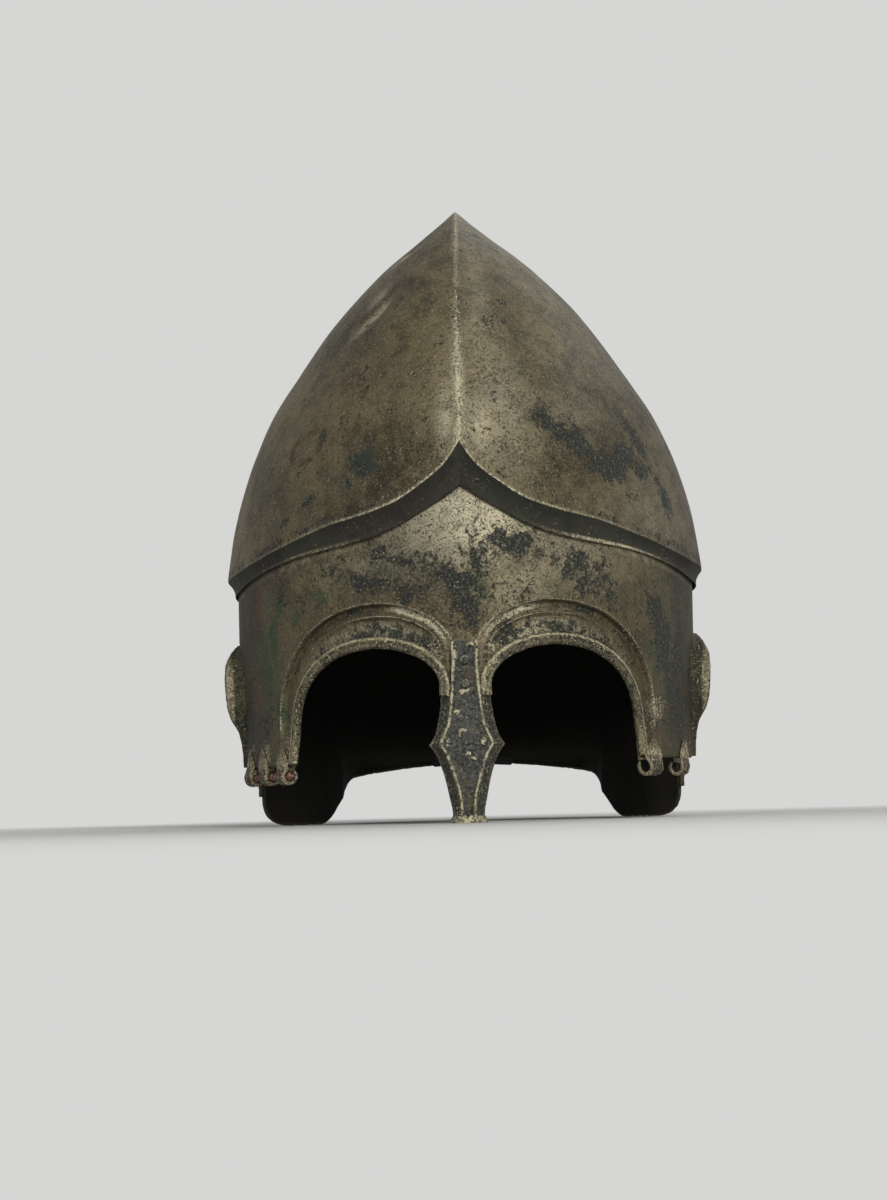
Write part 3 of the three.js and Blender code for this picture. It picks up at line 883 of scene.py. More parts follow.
@dataclass(frozen=True)
class Workshop:
    """What every piece shares: the form and the unevenness of the hammered sheet."""

    form: HelmetForm = HelmetForm()
    broad: Grain = Grain(11, 34 * MM, 0.35 * MM)
    middling: Grain = Grain(23, 11 * MM, 0.16 * MM)
    fine: Grain = Grain(37, 3.2 * MM, 0.05 * MM)

    def hammered(self, points: Array, normals: Array) -> Array:
        """Shifts points on the smooth form in and out along their normals, as the hammered sheet does."""
        height = self.broad.at(points) + self.middling.at(points) + self.fine.at(points)
        return points + normals * (height - self.broad.depth)[..., None]


@dataclass(frozen=True)
class OpeningRun:
    """Lower edge of the lower shell: runs of angle and height from the nasal to the nape."""

    form: HelmetForm
    tongue_height: float = 44.5 * MM
    shell_inner_angle: float = 5.55
    eye_outer_angle: float = 44.6
    eye_top_angle: float = 22.0
    eye_top_height: float = 64 * MM
    eye_inner_drop: float = 15 * MM
    eye_outer_drop: float = 27 * MM
    ear_front_angle: float = 72.0
    ear_rear_angle: float = 96.0
    ear_top_height: float = 72 * MM
    ear_arch_drop: float = 26 * MM
    lobe_corner_height: float = 11 * MM
    lobe_start_angle: float = 103.0
    fan_angles: Row = (0.0, 2.8, 47.0, 53.0, 66.0, 104.0, HALF_TURN)
    arc: float = 1.75 * MM
    sample: float = 0.25 * MM
    corner_reach: float = 0.9 * MM
    rim_corner_reach: float = 1 * MM
    fan_reach: float = 7 * MM
    kernel_reaches: int = 3
    steps: int = 60
    nape_rise: Curve = Curve((
        (108, 0), (120, 0), (125, 0.1), (129, 0.27), (133, 0.44), (137, 0.6), (143, 0.76), (152, 0.84),
        (166, 0.94), (180, 1),
    ))

    def arch(self, centre: float, half: float, top: float, drop: float, start: float, end: float) -> Array:
        """Part of an arch, as angles and heights."""
        turn = turns(start, end, self.steps)
        return np.stack([centre - half * np.cos(turn), top - drop * (1 - np.sin(turn))], axis=1)

    def eye(self) -> Array:
        """The edge of an eye opening, from the tongue to the hinge line."""
        top, height = self.eye_top_angle, self.eye_top_height
        inner_half, outer_half = top - self.shell_inner_angle, self.eye_outer_angle - top
        inner = self.arch(top, inner_half, height, self.eye_inner_drop, 0.0, QUARTER_TURN)
        outer = self.arch(top, outer_half, height, self.eye_outer_drop, QUARTER_TURN, HALF_TURN)
        start = [[self.shell_inner_angle, self.tongue_height]]
        end = [[self.eye_outer_angle, self.form.hinge_line_height]]
        return np.concatenate([start, inner, outer[1:], end])

    def ear(self) -> Array:
        """The edge of an ear opening, from the hinge line to the lobe."""
        centre = (self.ear_front_angle + self.ear_rear_angle) / 2
        half = (self.ear_rear_angle - self.ear_front_angle) / 2
        arch = self.arch(centre, half, self.ear_top_height, self.ear_arch_drop, 0.0, HALF_TURN)
        start = [[self.ear_front_angle, self.form.hinge_line_height]]
        end = [[self.ear_rear_angle, self.lobe_corner_height]]
        return np.concatenate([start, arch, end])

    def neck(self) -> Array:
        """The lower edge of the neck guard, from its lobe to the nape."""
        turn = turns(0, QUARTER_TURN, self.steps)
        reach = self.lobe_start_angle - self.ear_rear_angle
        drop = self.lobe_corner_height * (1 - np.sin(turn))
        lobe = np.stack([self.lobe_start_angle - reach * np.cos(turn), drop], axis=1)
        angle = np.linspace(self.nape_rise.points[0][0], HALF_TURN, 2 * self.steps)
        nape = np.stack([angle, self.form.nape_edge_height * self.nape_rise(angle)], axis=1)
        return np.concatenate([lobe[1:], nape])

    def evenly(self, run: Array, spacing: float) -> Array:
        """Lays a run's rows anew at an even spacing.

        Args:
            run: Rows that start with an angle and a height.
            spacing: Spacing in metres.

        Returns:
            The new rows.
        """
        steps = np.hypot(np.diff(run[:, 0]) * self.arc, np.diff(run[:, 1]))
        length = np.concatenate([[0.0], np.cumsum(steps)])
        places = np.linspace(0, length[-1], int(length[-1] / spacing) + 1)
        return np.stack([np.interp(places, length, column) for column in run.T], axis=1)

    def softened(self, run: Array, reach: float) -> Array:
        """Rounds a run's corners off, with its ends mirrored on themselves."""
        half = int(self.kernel_reaches * reach / self.sample)
        kernel = np.exp(-((np.arange(-half, half + 1) * self.sample / reach) ** 2) / 2)
        kernel /= kernel.sum()
        first, last = run[half:0:-1], run[-2:-half - 2:-1]
        ahead, behind = 2 * run[0] - first, 2 * run[-1] - last
        ahead[:, 1] = first[:, 1]
        behind[:, 1] = last[:, 1]
        padded = np.concatenate([ahead, run, behind])
        return np.stack([np.convolve(column, kernel, "valid") for column in padded.T], axis=1)

    def rim(self, run: Array, spacing: float) -> Array:
        """The run that a rim follows round an eye or an ear opening."""
        return self.evenly(self.softened(self.evenly(run, self.sample), self.rim_corner_reach), spacing)

    def whole(self, spacing: float) -> Array:
        """The right half of the edge, front to back, with the angle that each place fans out to.

        Args:
            spacing: Spacing in metres.

        Returns:
            Rows of angle, height and angle at the top margin.
        """
        hinge = np.array([[self.ear_front_angle, self.form.hinge_line_height]])
        eye = self.eye()
        leg = int(np.argmax(eye[:, 0] >= self.eye_outer_angle - ANGLE_PROBE))
        tongue = np.array([[0.0, self.tongue_height]])
        parts = tongue, eye[:leg], eye[leg:], hinge, self.ear(), self.neck()
        rows = []
        for run, start, end in zip(parts, self.fan_angles, self.fan_angles[1:]):
            even = self.evenly(run, self.sample) if len(run) > 1 else run
            top = between(start, end, np.arange(len(even)) / len(even))
            rows.append(np.column_stack([even, top]))
        joined = self.evenly(np.concatenate(rows), self.sample)
        joined[-1, 2] = HALF_TURN
        cornered = self.softened(joined, self.corner_reach)
        cornered[:, 2] = self.softened(joined, self.fan_reach)[:, 2]
        return self.evenly(cornered, spacing)


def both_sides(half: Array) -> Array:
    """Carries a half's rows on round the other side; every other value in a row is an angle."""
    other = half[-2:0:-1].copy()
    other[:, ::2] *= -1
    return np.concatenate([half, other])


def crowded(places: Array, weight: Array, count: int) -> Array:
    """Lays a count of places along a row of them, closer together where the weight is greater."""
    total = np.concatenate([[0.0], np.cumsum((weight[1:] + weight[:-1]) / 2)])
    return np.interp(np.linspace(0, total[-1], count), total, places)


def repeated(values: Array, count: int) -> Array:
    """Gives every point of a column the column's own value."""
    return np.repeat(values[:, None], count, axis=1)


@dataclass
class LowerShell:
    """Brow, temples, hinge edge, ear openings and neck guard, in one sheet."""

    shop: Workshop
    column_spacing: float = 1.0 * MM
    outer_rows: int = 80
    inner_rows: int = 22
    round_rows: int = 7
    edge_margin: float = 1.1 * MM
    ridge_pull: float = 6.0
    ridge_reach: float = 4.5 * MM
    probe_rows: int = 240
    nick_depth: float = 0.35 * MM
    nicks: Grain = Grain(51, 2.6 * MM)
    finish: AgedBronze = AgedBronze("shell_bronze", green_tone=Tone(38, 78, 44), speckle=0.66)
    patina: Patina = Patina(
        patch=patches(
            (11.5, 100.5, 13, 5.3, -8, 0.78), (4, 95.5, 8.3, 4.7, 50, 0.66), (-3, 89, 14.2, 4.2, -20, 0.74),
            (0.8, 76, 5.3, 10.6, 15, 0.72), (-14, 93.5, 9.4, 3.8, -20, 0.6), (-19, 99.2, 4.7, 2.6, 30, 0.62),
            (-22, 87, 12, 4.6, -10, 0.68), (-31, 93, 8, 5, 20, 0.56), (-12, 82, 7, 5, 20, 0.6),
            (13, 79, 6, 5, -20, 0.56), (28.5, 93, 9.4, 5.3, -10, 0.84), (31, 85.5, 8.3, 7.1, 0, 0.7),
            (36, 79.5, 7.1, 4.7, -40, 0.64), (52, 76, 6.5, 11, 0, 0.82), (55.5, 64, 8, 14, 10, 0.74),
            (59.5, 48, 10, 17, 0, 0.74), (62, 60, 9, 16, 0, 0.66), (-57, 38, 9, 10, 0, 0.58),
            (-49, 86, 4.1, 7.1, 10, 0.66), (-41, 84, 2.9, 5.9, -20, 0.54), (-66, 45, 7.1, 21.2, 0, 0.52),
            (9, 69, 5, 5, 0, 0.66), (-9, 69, 4, 5, 0, 0.52), (118, 70, 16.5, 10.6, 20, 0.64),
            (150, 88, 21.2, 7.1, -15, 0.64), (-135, 60, 18.9, 13, 25, 0.66), (-165, 45, 14.2, 7.1, 0, 0.59),
        ),
        green=patches(
            (-52.5, 70, 4, 12, 3, 0.86), (-54.5, 57, 5, 11, 0, 0.8), (-50, 81, 4.5, 7, 0, 0.74),
            (-44, 76, 6, 5, 0, 0.62), (-56, 60, 10, 24, 0, 0.58), (-50, 42, 3.5, 12, 0, 0.62),
            (-9, 68, 4, 5, 0, 0.54), (9, 68, 5, 6, 0, 0.6), (-36, 84, 9, 4, 0, 0.6),
            (-22, 90, 14, 6, 0, 0.52), (30, 88, 12, 8, 0, 0.52), (2, 84, 8, 12, 0, 0.54),
            (60, 88, 5, 3, 0, 0.42), (52, 62, 7, 16, 12, 0.6), (58, 36, 7, 10, 0, 0.56),
            (125, 66, 8, 5, 0, 0.5), (-150, 72, 9, 6, 30, 0.5),
        ),
        pale=patches(
            (52, 41, 5, 6, 0, 0.44), (46.5, 32, 4, 11, 0, 0.42), (-47, 31, 3.5, 10, 0, 0.5),
            (-57, 27, 4, 6, 0, 0.46), (-66, 27, 4, 6, 0, 0.42), (66, 26, 6, 4, 0, 0.4),
        ),
        rust=patches(
            (-60.5, 52, 3.6, 14, 0, 0.72), (-54, 40, 4, 4, 0, 0.62), (-60, 82, 5, 12, 0, 0.52),
            (58, 52, 3, 11, 0, 0.58), (170, 60, 22, 8, 0, 0.42),
        ),
        worn=patches(
            (0, 110, 30, 17, 0, 0.95), (24, 98, 26, 12, -10, 0.5), (-20, 96, 22, 10, 10, 0.34),
            (14, 84, 12, 9, 0, 0.36), (180, 80, 60, 20, 0, 0.3),
        ),
    )
    ridge_line: float = 0.42 * MM
    # The brow's ridges: wear and painted highlights.
    inner_ridge_pale_highlight: float = 0.92
    outer_ridge_pale_highlight: float = 0.6
    outer_ridge_worn_highlight: float = 0.8
    brow_patina: float = 0.5
    brow_worn: float = 0.55
    groove_hump: Span = (2.3 * MM, 1.3 * MM)
    groove_span: Span = (14, 30)
    groove_strengths: Span = (0.35, 0.8)
    groove_dark: float = 0.85
    groove_green: float = 0.3
    # A painted highlight on the brow's roll beside the nose, a little weaker on the right.
    streak_highlight_edge: Span = (0.25, 0.75)
    streak_highlight_right_share: float = 0.8
    streak_highlight_pale: float = 0.68
    nook_angle_hump: Span = (6.5, 2.2)
    nook_height_hump: Span = (57 * MM, 9 * MM)
    nook_dark: float = 0.66
    nook_pale: float = 0.54
    # A painted highlight along the fillet just under the crown's hem, stronger towards the sides.
    fillet_highlight_hump: Span = (1.3 * MM, 0.9 * MM)
    fillet_highlight_span: Span = (15, 45)
    fillet_highlight_strengths: Span = (0.2, 0.6)
    # Painted shade down the temples, darker towards the sides and easing off towards the back.
    temple_shade_strength: float = 0.7
    temple_shade_span: Span = (40, 66)
    temple_shade_fade: float = 0.6
    temple_shade_fade_span: Span = (90, 120)

    def rows(self, start: Array, top: Array) -> tuple[Array, Array]:
        """Places the outer rows of each column, closer together at the brow's step.

        Args:
            start: Angle and height of each column's foot.
            top: Angle of each column at the top margin.

        Returns:
            Angles and heights, column by row.
        """
        form = self.shop.form
        angles = start[:, :1], top[:, None]
        heights = start[:, 1:2], (form.hem_height(top) + form.lap_height)[:, None]
        share = np.linspace(0, 1, self.probe_rows)
        inside = form.brow_inside(between(*angles, share), between(*heights, share))
        weight = 1 + self.ridge_pull * hump(inside, form.inner_ridge_place / 2, self.ridge_reach)
        shares = np.stack([crowded(share, column, self.outer_rows) for column in weight])
        return between(*angles, shares), between(*heights, shares)

    def margin(self, angle: Array, z: Array, across: Array) -> Array:
        """Places the foot of each column a margin away from the edge, along the surface.

        Args:
            angle: Angles of the edge.
            z: Its heights.
            across: Directions away from it.

        Returns:
            Rows of angle and height.
        """
        around, up = self.shop.form.slopes(self.shop.form.shell, angle, z)
        axes = np.stack([around / (2 * ANGLE_PROBE), up / (2 * HEIGHT_PROBE)], axis=-1)
        shift = np.linalg.pinv(axes) @ across[..., None]
        return np.stack([angle, z], axis=1) + self.edge_margin * shift[..., 0]

    def laid(self, angle: Array, z: Array, deep: float) -> Array:
        """Points on the hammered sheet, or a depth below it."""
        form = self.shop.form
        normals = form.outward(form.shell, angle, z)
        return self.shop.hammered(form.shell(angle, z), normals) - normals * deep

    def rounded_edge(self, foot: Array, normal: Array, across: Array) -> Array:
        """Rounds the sheet's edge over, with small nicks in it.

        Args:
            foot: Places along the edge.
            normal: Outward directions there.
            across: Directions away from the edge.

        Returns:
            Points from the inside out, column by row.
        """
        turn = turns(-QUARTER_TURN, QUARTER_TURN, self.round_rows)
        radius = self.shop.form.sheet / 2
        nick = self.nick_depth * np.abs(self.nicks.at(foot)) ** 2
        inset = radius * (1 - np.cos(turn)) + nick[:, None]
        points = foot[:, None] + across[:, None] * inset[..., None]
        points = points + normal[:, None] * (radius * np.sin(turn) - radius)[None, :, None]
        return self.shop.hammered(points, np.broadcast_to(normal[:, None], points.shape))

    def build(self) -> Piece:
        """Builds the sheet with a rounded edge round all its openings.

        Returns:
            The dressed piece.
        """
        form = self.shop.form
        edge = both_sides(OpeningRun(form).whole(self.column_spacing))
        angle, z, top = edge.T
        foot = form.shell(angle, z)
        normal = form.outward(form.shell, angle, z)
        along = unit(np.roll(foot, -1, axis=0) - np.roll(foot, 1, axis=0))
        across = unit(np.cross(normal, along))
        outer_angle, outer_z = self.rows(self.margin(angle, z, across), top)
        picks = np.linspace(self.outer_rows - 1, 0, self.inner_rows).round().astype(int)
        inner_angle, inner_z = outer_angle[:, picks], outer_z[:, picks]
        points = np.concatenate([
            self.laid(outer_angle, outer_z, 0.0),
            self.laid(inner_angle, inner_z, form.sheet),
            self.rounded_edge(foot, normal, across),
        ], axis=1)
        angles = np.concatenate([outer_angle, inner_angle, repeated(angle, self.round_rows)], axis=1)
        heights = np.concatenate([outer_z, inner_z, repeated(z, self.round_rows)], axis=1)
        # The inner face is marked inside, to be painted near-black as shade.
        inside = np.zeros(angles.shape)
        inside[:, self.outer_rows:-self.round_rows] = 1.0
        faces = grid_faces(len(edge), angles.shape[1], True, True)
        piece = lay_mesh("lower_shell", points, faces, self.masks(angles, heights, inside))
        return settle(piece, self.finish.make(), "face_and_neck_shell")

    def masks(self, angle: Array, z: Array, inside: Array) -> Masks:
        """What the sheet carries, place by place, painted shade down the temples and painted highlights on
        the brow and under the crown among it.

        Args:
            angle: Angles.
            z: Heights.
            inside: 1 on the inner face.

        Returns:
            Shares, by mask.
        """
        form = self.shop.form
        covers = self.patina.covers(angle, z, form.face_arc)
        gap = form.brow_inside(angle, z)
        turned = form.turned(angle)
        low, high = form.above_legs(z), form.over_eye(turned)
        outer = hump(gap, 0.0, self.ridge_line) * low
        inner = hump(gap, form.inner_ridge_place, self.ridge_line) * high * low
        brow = smooth(gap, form.inner_ridge_place, 2 * form.inner_ridge_place) * low
        groove = hump(gap, *self.groove_hump) * between(*self.groove_strengths, high) * low
        groove = groove * smooth(turned, *self.groove_span)
        # Painted highlight on the brow's roll beside the nose.
        streak_highlight = smooth(form.roll(gap, turned), *self.streak_highlight_edge) * low
        streak_highlight = streak_highlight * np.where(angle < 0, 1.0, self.streak_highlight_right_share)
        nook = hump(turned, *self.nook_angle_hump) * hump(z, *self.nook_height_hump)
        # Painted highlight along the fillet under the crown's hem.
        fillet = hump(form.hem_height(angle) - z, *self.fillet_highlight_hump)
        fillet = fillet * between(*self.fillet_highlight_strengths, smooth(turned, *self.fillet_highlight_span))
        # Painted shade: darker towards the sides of the face, less so towards the back.
        temple_shade = self.temple_shade_strength * smooth(turned, *self.temple_shade_span)
        temple_shade = temple_shade * (1 - self.temple_shade_fade * smooth(turned, *self.temple_shade_fade_span))
        dark = peak(covers[Mask.PATCH], self.groove_dark * groove, self.nook_dark * nook)
        green = self.brow_patina * brow + self.groove_green * groove
        # The brow's ridges are worn and carry painted highlights.
        ridges = self.inner_ridge_pale_highlight * inner + self.outer_ridge_pale_highlight * outer
        pale = peak(ridges, self.nook_pale * nook, self.streak_highlight_pale * streak_highlight)
        worn = peak(inner, self.outer_ridge_worn_highlight * outer, fillet, self.brow_worn * brow, streak_highlight)
        return {
            Mask.PATCH: peak(dark * (1 - inner), self.brow_patina * brow),
            Mask.GREEN: peak(covers[Mask.GREEN], green),
            Mask.PALE: peak(covers[Mask.PALE], pale),
            Mask.RUST: covers[Mask.RUST],
            Mask.WORN: peak(covers[Mask.WORN], worn),
            Mask.BAND: temple_shade,
            Mask.INSIDE: inside,
        }


@dataclass
class CrownCap:
    """The keeled crown with its overhanging corner and the slope under it."""

    shop: Workshop
    columns_half: int = 258
    probe_columns: int = 2000
    keel_pull: float = 3.0
    keel_pull_reach: float = 7.0
    slope_rows: int = 16
    crown_rows: int = 112
    corner_steps: Row = (0, 0.25 * MM, 0.6 * MM, 1.1 * MM, 1.8 * MM)
    corner_end: float = 3 * MM
    inner_rows: int = 26
    inner_slope_rows: int = 6
    hem_round_rows: int = 5
    hem_edge: float = 0.6 * MM
    row_power: float = 1.6
    last_row_share: float = 0.25
    inner_row_power: float = 2.0
    cove: float = 0.8 * MM
    corner_rounds: int = 2
    corner_rows: int = 2
    crest_depth: float = 0.9 * MM
    crest_reach: float = 1.3 * MM
    crest_fade: float = 8 * MM
    crest_end: float = 14 * MM
    finish: AgedBronze = AgedBronze(
        "crown_bronze", rust_tone=Tone(66, 46, 34), green_tone=Tone(20, 42, 34), fringe_tone=Tone(46, 50, 36)
    )
    dents: tuple[Patch, ...] = patches(
        (-33, 193, 8, 2.8, 45, 1.8 * MM),
        (-37, 221, 5, 2, 35, 1.0 * MM),
        (30, 165, 26, 18, 0, 0.5 * MM),
        (160, 170, 22, 14, 20, 0.6 * MM),
    )
    patina: Patina = Patina(
        patch=patches(
            (21.5, 146, 8, 4.6, -32, 0.88), (29.5, 137, 8, 7.7, -45, 0.9), (25.5, 141, 7, 4.6, -40, 0.9),
            (38.5, 129.5, 13, 5.7, 5, 0.96), (44.5, 134, 9, 6, 10, 0.9), (50, 131, 9.4, 4.6, 0, 0.84),
            (51.5, 142, 5, 8, 20, 0.82), (57, 121, 4.7, 9.4, 10, 0.72), (44, 118, 4.7, 4.7, 0, 0.46),
            (-24.6, 129.5, 6.4, 4.6, -20, 0.66), (-37.3, 144, 4.6, 2.2, 20, 0.62),
            (-27.6, 124.5, 2.8, 4.7, 30, 0.64), (-39, 118.5, 5.3, 2.4, 15, 0.56),
            (-45, 113.5, 5.9, 2.4, 20, 0.46), (10.5, 183, 8.3, 4.7, 20, 0.44),
            (-100, 150, 23.6, 11.8, 20, 0.64), (120, 130, 18.9, 14.2, -20, 0.7),
            (-155, 180, 21.2, 10.6, 30, 0.62), (165, 120, 28.3, 8.3, 0, 0.64),
            (100, 190, 11.8, 14.2, 0, 0.49),
        ),
        green=patches(
            (-23.2, 131, 9, 6.2, -20, 1.0), (-46, 112, 9, 3, 20, 0.55), (-39, 119, 5, 2.6, 15, 0.5),
            (0.8, 190, 1.6, 14, 0, 0.62), (-45, 109, 14, 3, 18, 0.34), (120, 138, 12, 6, 0, 0.5),
            (-165, 130, 14, 7, 0, 0.45),
        ),
        rust=patches(
            (-5, 139.5, 3, 2, 0, 0.45), (-12, 122, 5, 4, 0, 0.42), (-30, 160, 22, 22, 0, 0.4),
            (150, 150, 20, 16, 0, 0.4),
        ),
        worn=patches(
            (5, 143, 10, 12, 0, 0.46), (-3, 147, 5, 14, 0, 0.5), (-35, 190, 10, 2.2, 45, 0.95),
            (-37, 199, 5, 3, 30, 0.7), (-38.5, 219, 6, 1.6, 35, 0.9), (12, 152, 18, 22, 0, 0.36),
            (9, 190, 11, 36, 0, 0.36), (30, 150, 20, 12, 0, 0.36), (48, 112, 24, 14, 0, 0.35),
            (35, 170, 22, 18, 0, 0.2), (180, 150, 50, 50, 0, 0.25),
        ),
    )
    stains: tuple[Patch, ...] = patches((-42, 140.5, 9.6, 5.6, 10, 0.7))
    front_span: Span = (-20 * MM, 20 * MM)
    rear_keel_share: float = 0.5
    # The keel's pale line is wear and a painted highlight, broader and stronger low down.
    keel_highlight_span: Span = (-200 * MM, -155 * MM)
    keel_line: float = 1.4 * MM
    keel_widths: Span = (1.0, 1.7)
    keel_worn_highlight: Span = (0.45, 1.0)
    keel_pale_highlight: Span = (0.34, 0.64)
    lip_hump: Span = (0.35 * MM, 0.55 * MM)
    lip_spread: float = 42.0
    # Wear and a painted highlight along the crown's corner, strongest in front.
    lip_pale_highlight: float = 0.66
    lip_worn_highlight: float = 0.9
    rim_line_hump: Span = (2.2 * MM, 1.8 * MM)
    rim_line_span: Span = (12, 40)
    rim_line_dark: float = 0.5
    rim_line_green: float = 0.4
    # A painted highlight along the rounded hem, weaker on the left.
    hem_highlight_hump: Span = (38.0, 16.0)
    hem_highlight_left_share: float = 0.5
    hem_highlight_pale: float = 0.62

    def angles(self) -> Array:
        """Column angles all round, closer together at the keel in front and behind."""
        probe = np.linspace(0, HALF_TURN, self.probe_columns)
        keels = hump(probe, 0, self.keel_pull_reach) + hump(probe, HALF_TURN, self.keel_pull_reach)
        weight = 1 + self.keel_pull * keels
        return both_sides(crowded(probe, weight, self.columns_half)[:, None])[:, 0]

    def arc(self, points: Array) -> Array:
        """Length of one degree round the crown at each place."""
        return math.radians(1.0) * np.hypot(points[..., 0], points[..., 1] - self.shop.form.centre_y)

    def crest(self, points: Array, normals: Array) -> Array:
        """Draws the sheet in beside the keel, so that the keel stands out as a fine crest."""
        away = np.abs(points[..., 0])
        flank = (1 - hump(away, 0, self.crest_reach)) * hump(away, 0, self.crest_fade)
        fade = smooth(self.shop.form.apex_height - points[..., 2], 0.0, self.crest_end)
        return points - normals * (self.crest_depth * flank * fade)[..., None]

    def on_crown(self, angle: Array, z: Array, deep: float) -> Array:
        """Points on the hammered crown, or a depth below it."""
        form = self.shop.form
        normals = form.outward(form.crown, angle, z)
        points = self.crest(form.crown(angle, z), normals)
        dent = sum(patch.cover(angle, z, self.arc(points)) for patch in self.dents)
        return self.shop.hammered(points, normals) - normals * (deep + dent)[..., None]

    def heights(self, rim: Array) -> Array:
        """Heights of the crown's rows, from its corner nearly to the apex."""
        share = (1 - np.arange(self.crown_rows) / self.crown_rows) ** self.row_power
        share = np.append(share, (self.last_row_share / self.crown_rows) ** self.row_power)
        near = rim[:, None] + np.array(self.corner_steps)[None, :]
        far = between(self.shop.form.apex_height, rim[:, None] + self.corner_end, share[None, :])
        return np.concatenate([near, far], axis=1)

    def hem_edges(self, angle: Array, hem: Array) -> tuple[Array, Array]:
        """Rounds the hem's edge over, clear of the shell.

        Args:
            angle: Angle of each column.
            hem: Height of the hem in each column.

        Returns:
            Points from the inside out, column by row, and the level outward directions.
        """
        form = self.shop.form
        side = form.outward(form.shell, angle, hem)
        side[:, 2] = 0
        side = unit(side)
        foot = form.shell(angle, hem) + side * (form.seat_gap + form.facet_allowance)
        radius = self.hem_edge / 2
        turn = turns(-QUARTER_TURN, QUARTER_TURN, self.hem_round_rows)
        points = foot[:, None] + side[:, None] * (radius * (1 + np.sin(turn)))[None, :, None]
        points[..., 2] += radius * (1 - np.cos(turn))
        return points, side

    def rounded(self, outer: Array) -> Array:
        """Rounds the crown's corner off."""
        made = outer.copy()
        near = slice(self.slope_rows - self.corner_rows, self.slope_rows + self.corner_rows + 1)
        for _ in range(self.corner_rounds):
            averaged = (made[:, :-2] + 2 * made[:, 1:-1] + made[:, 2:]) / 4
            made[:, near] = averaged[:, near.start - 1:near.stop - 1]
        return made

    def build(self) -> Piece:
        """Builds the crown as one closed sheet.

        Returns:
            The dressed piece.
        """
        form = self.shop.form
        angle = self.angles()
        rim, hem = form.rim_height(angle), form.hem_height(angle)
        rounding, side = self.hem_edges(angle, hem)
        z = self.heights(rim)
        crown = self.on_crown(repeated(angle, z.shape[1]), z, 0.0)
        step = np.sin(np.linspace(0, math.pi / 2, self.slope_rows + 2)[1:-1])[None, :, None]
        slope = between(rounding[:, -1:], crown[:, :1], step)
        slope = slope - side[:, None] * (self.cove * 4 * step * (1 - step))
        outer = self.rounded(np.concatenate([slope, crown], axis=1))
        apex = np.broadcast_to([0.0, form.centre_y, form.apex_height], (len(angle), 1, 3))
        inner_share = np.linspace(1, 0, self.inner_rows) ** self.inner_row_power
        inner_z = between(form.apex_height, rim[:, None], inner_share)[:, :-1]
        inner = self.on_crown(repeated(angle, inner_z.shape[1]), inner_z, form.sheet)
        inner_step = np.linspace(0, 1, self.inner_slope_rows + 1)[None, 1:-1, None]
        inner_slope = between(rounding[:, :1], inner[:, :1], inner_step)
        outside = [rounding, outer, apex]
        within = [apex - 2 * form.sheet * UP, inner[:, ::-1], inner_slope[:, ::-1]]
        points = np.concatenate(outside + within, axis=1)
        # The inner face is marked inside, to be painted near-black as shade.
        inside = np.zeros(points.shape[:2])
        inside[:, sum(part.shape[1] for part in outside):] = 1.0
        masks = self.masks(repeated(angle, points.shape[1]), points, inside, rim)
        piece = lay_mesh("crown", points, grid_faces(len(angle), points.shape[1], True, True), masks)
        return settle(piece, self.finish.make(), "crown_cap")

    def masks(self, angle: Array, points: Array, inside: Array, rim: Array) -> Masks:
        """What the crown carries, place by place, painted shade on the slope under its corner and painted
        highlights on its keel, corner and hem among it.

        Args:
            angle: Angles.
            points: Places on the crown, column by row.
            inside: 1 on the inner face.
            rim: Height of the corner in each column.

        Returns:
            Shares, by mask.
        """
        z = points[..., 2]
        arc = self.arc(points)
        covers = self.patina.covers(angle, z, arc)
        turned = self.shop.form.turned(angle)
        above = z - rim[:, None]
        slope, hem = np.zeros(z.shape), np.zeros(z.shape)
        slope[:, :self.hem_round_rows + self.slope_rows - 1] = 1.0
        # Painted highlight along the rounded hem, weaker on the left.
        hem[:, 1:self.hem_round_rows + 1] = 1.0
        hem = hem * hump(turned, *self.hem_highlight_hump) * np.where(angle > 0, 1.0, self.hem_highlight_left_share)
        front = smooth(-points[..., 1], *self.front_span)
        # Wear and a painted highlight along the keel, broader and stronger low down.
        keel_highlight = smooth(-z, *self.keel_highlight_span)
        keel = hump(np.abs(points[..., 0]) / between(*self.keel_widths, keel_highlight), 0, self.keel_line)
        keel = keel * np.maximum(front, self.rear_keel_share) * (1 - slope)
        # Wear and a painted highlight just above the crown's corner.
        lip = hump(above, *self.lip_hump) * hump(turned, 0, self.lip_spread) * (1 - slope)
        line = hump(above, *self.rim_line_hump) * smooth(turned, *self.rim_line_span) * (1 - slope)
        worn = peak(covers[Mask.WORN], keel * between(*self.keel_worn_highlight, keel_highlight), self.lip_worn_highlight * lip)
        rings = [stain.ring(angle, z, arc) for stain in self.stains]
        pale = peak(keel * between(*self.keel_pale_highlight, keel_highlight), self.lip_pale_highlight * lip, self.hem_highlight_pale * hem)
        return {
            Mask.PATCH: peak(covers[Mask.PATCH], self.rim_line_dark * line),
            Mask.GREEN: peak(covers[Mask.GREEN], self.rim_line_green * line),
            Mask.PALE: pale,
            Mask.RUST: peak(covers[Mask.RUST], *rings),
            Mask.WORN: peak(worn * (1 - slope), hem),
            # Painted shade on the slope under the overhanging corner, partly a dark patina.
            Mask.BAND: slope * (1 - hem),
            Mask.INSIDE: inside,
        }


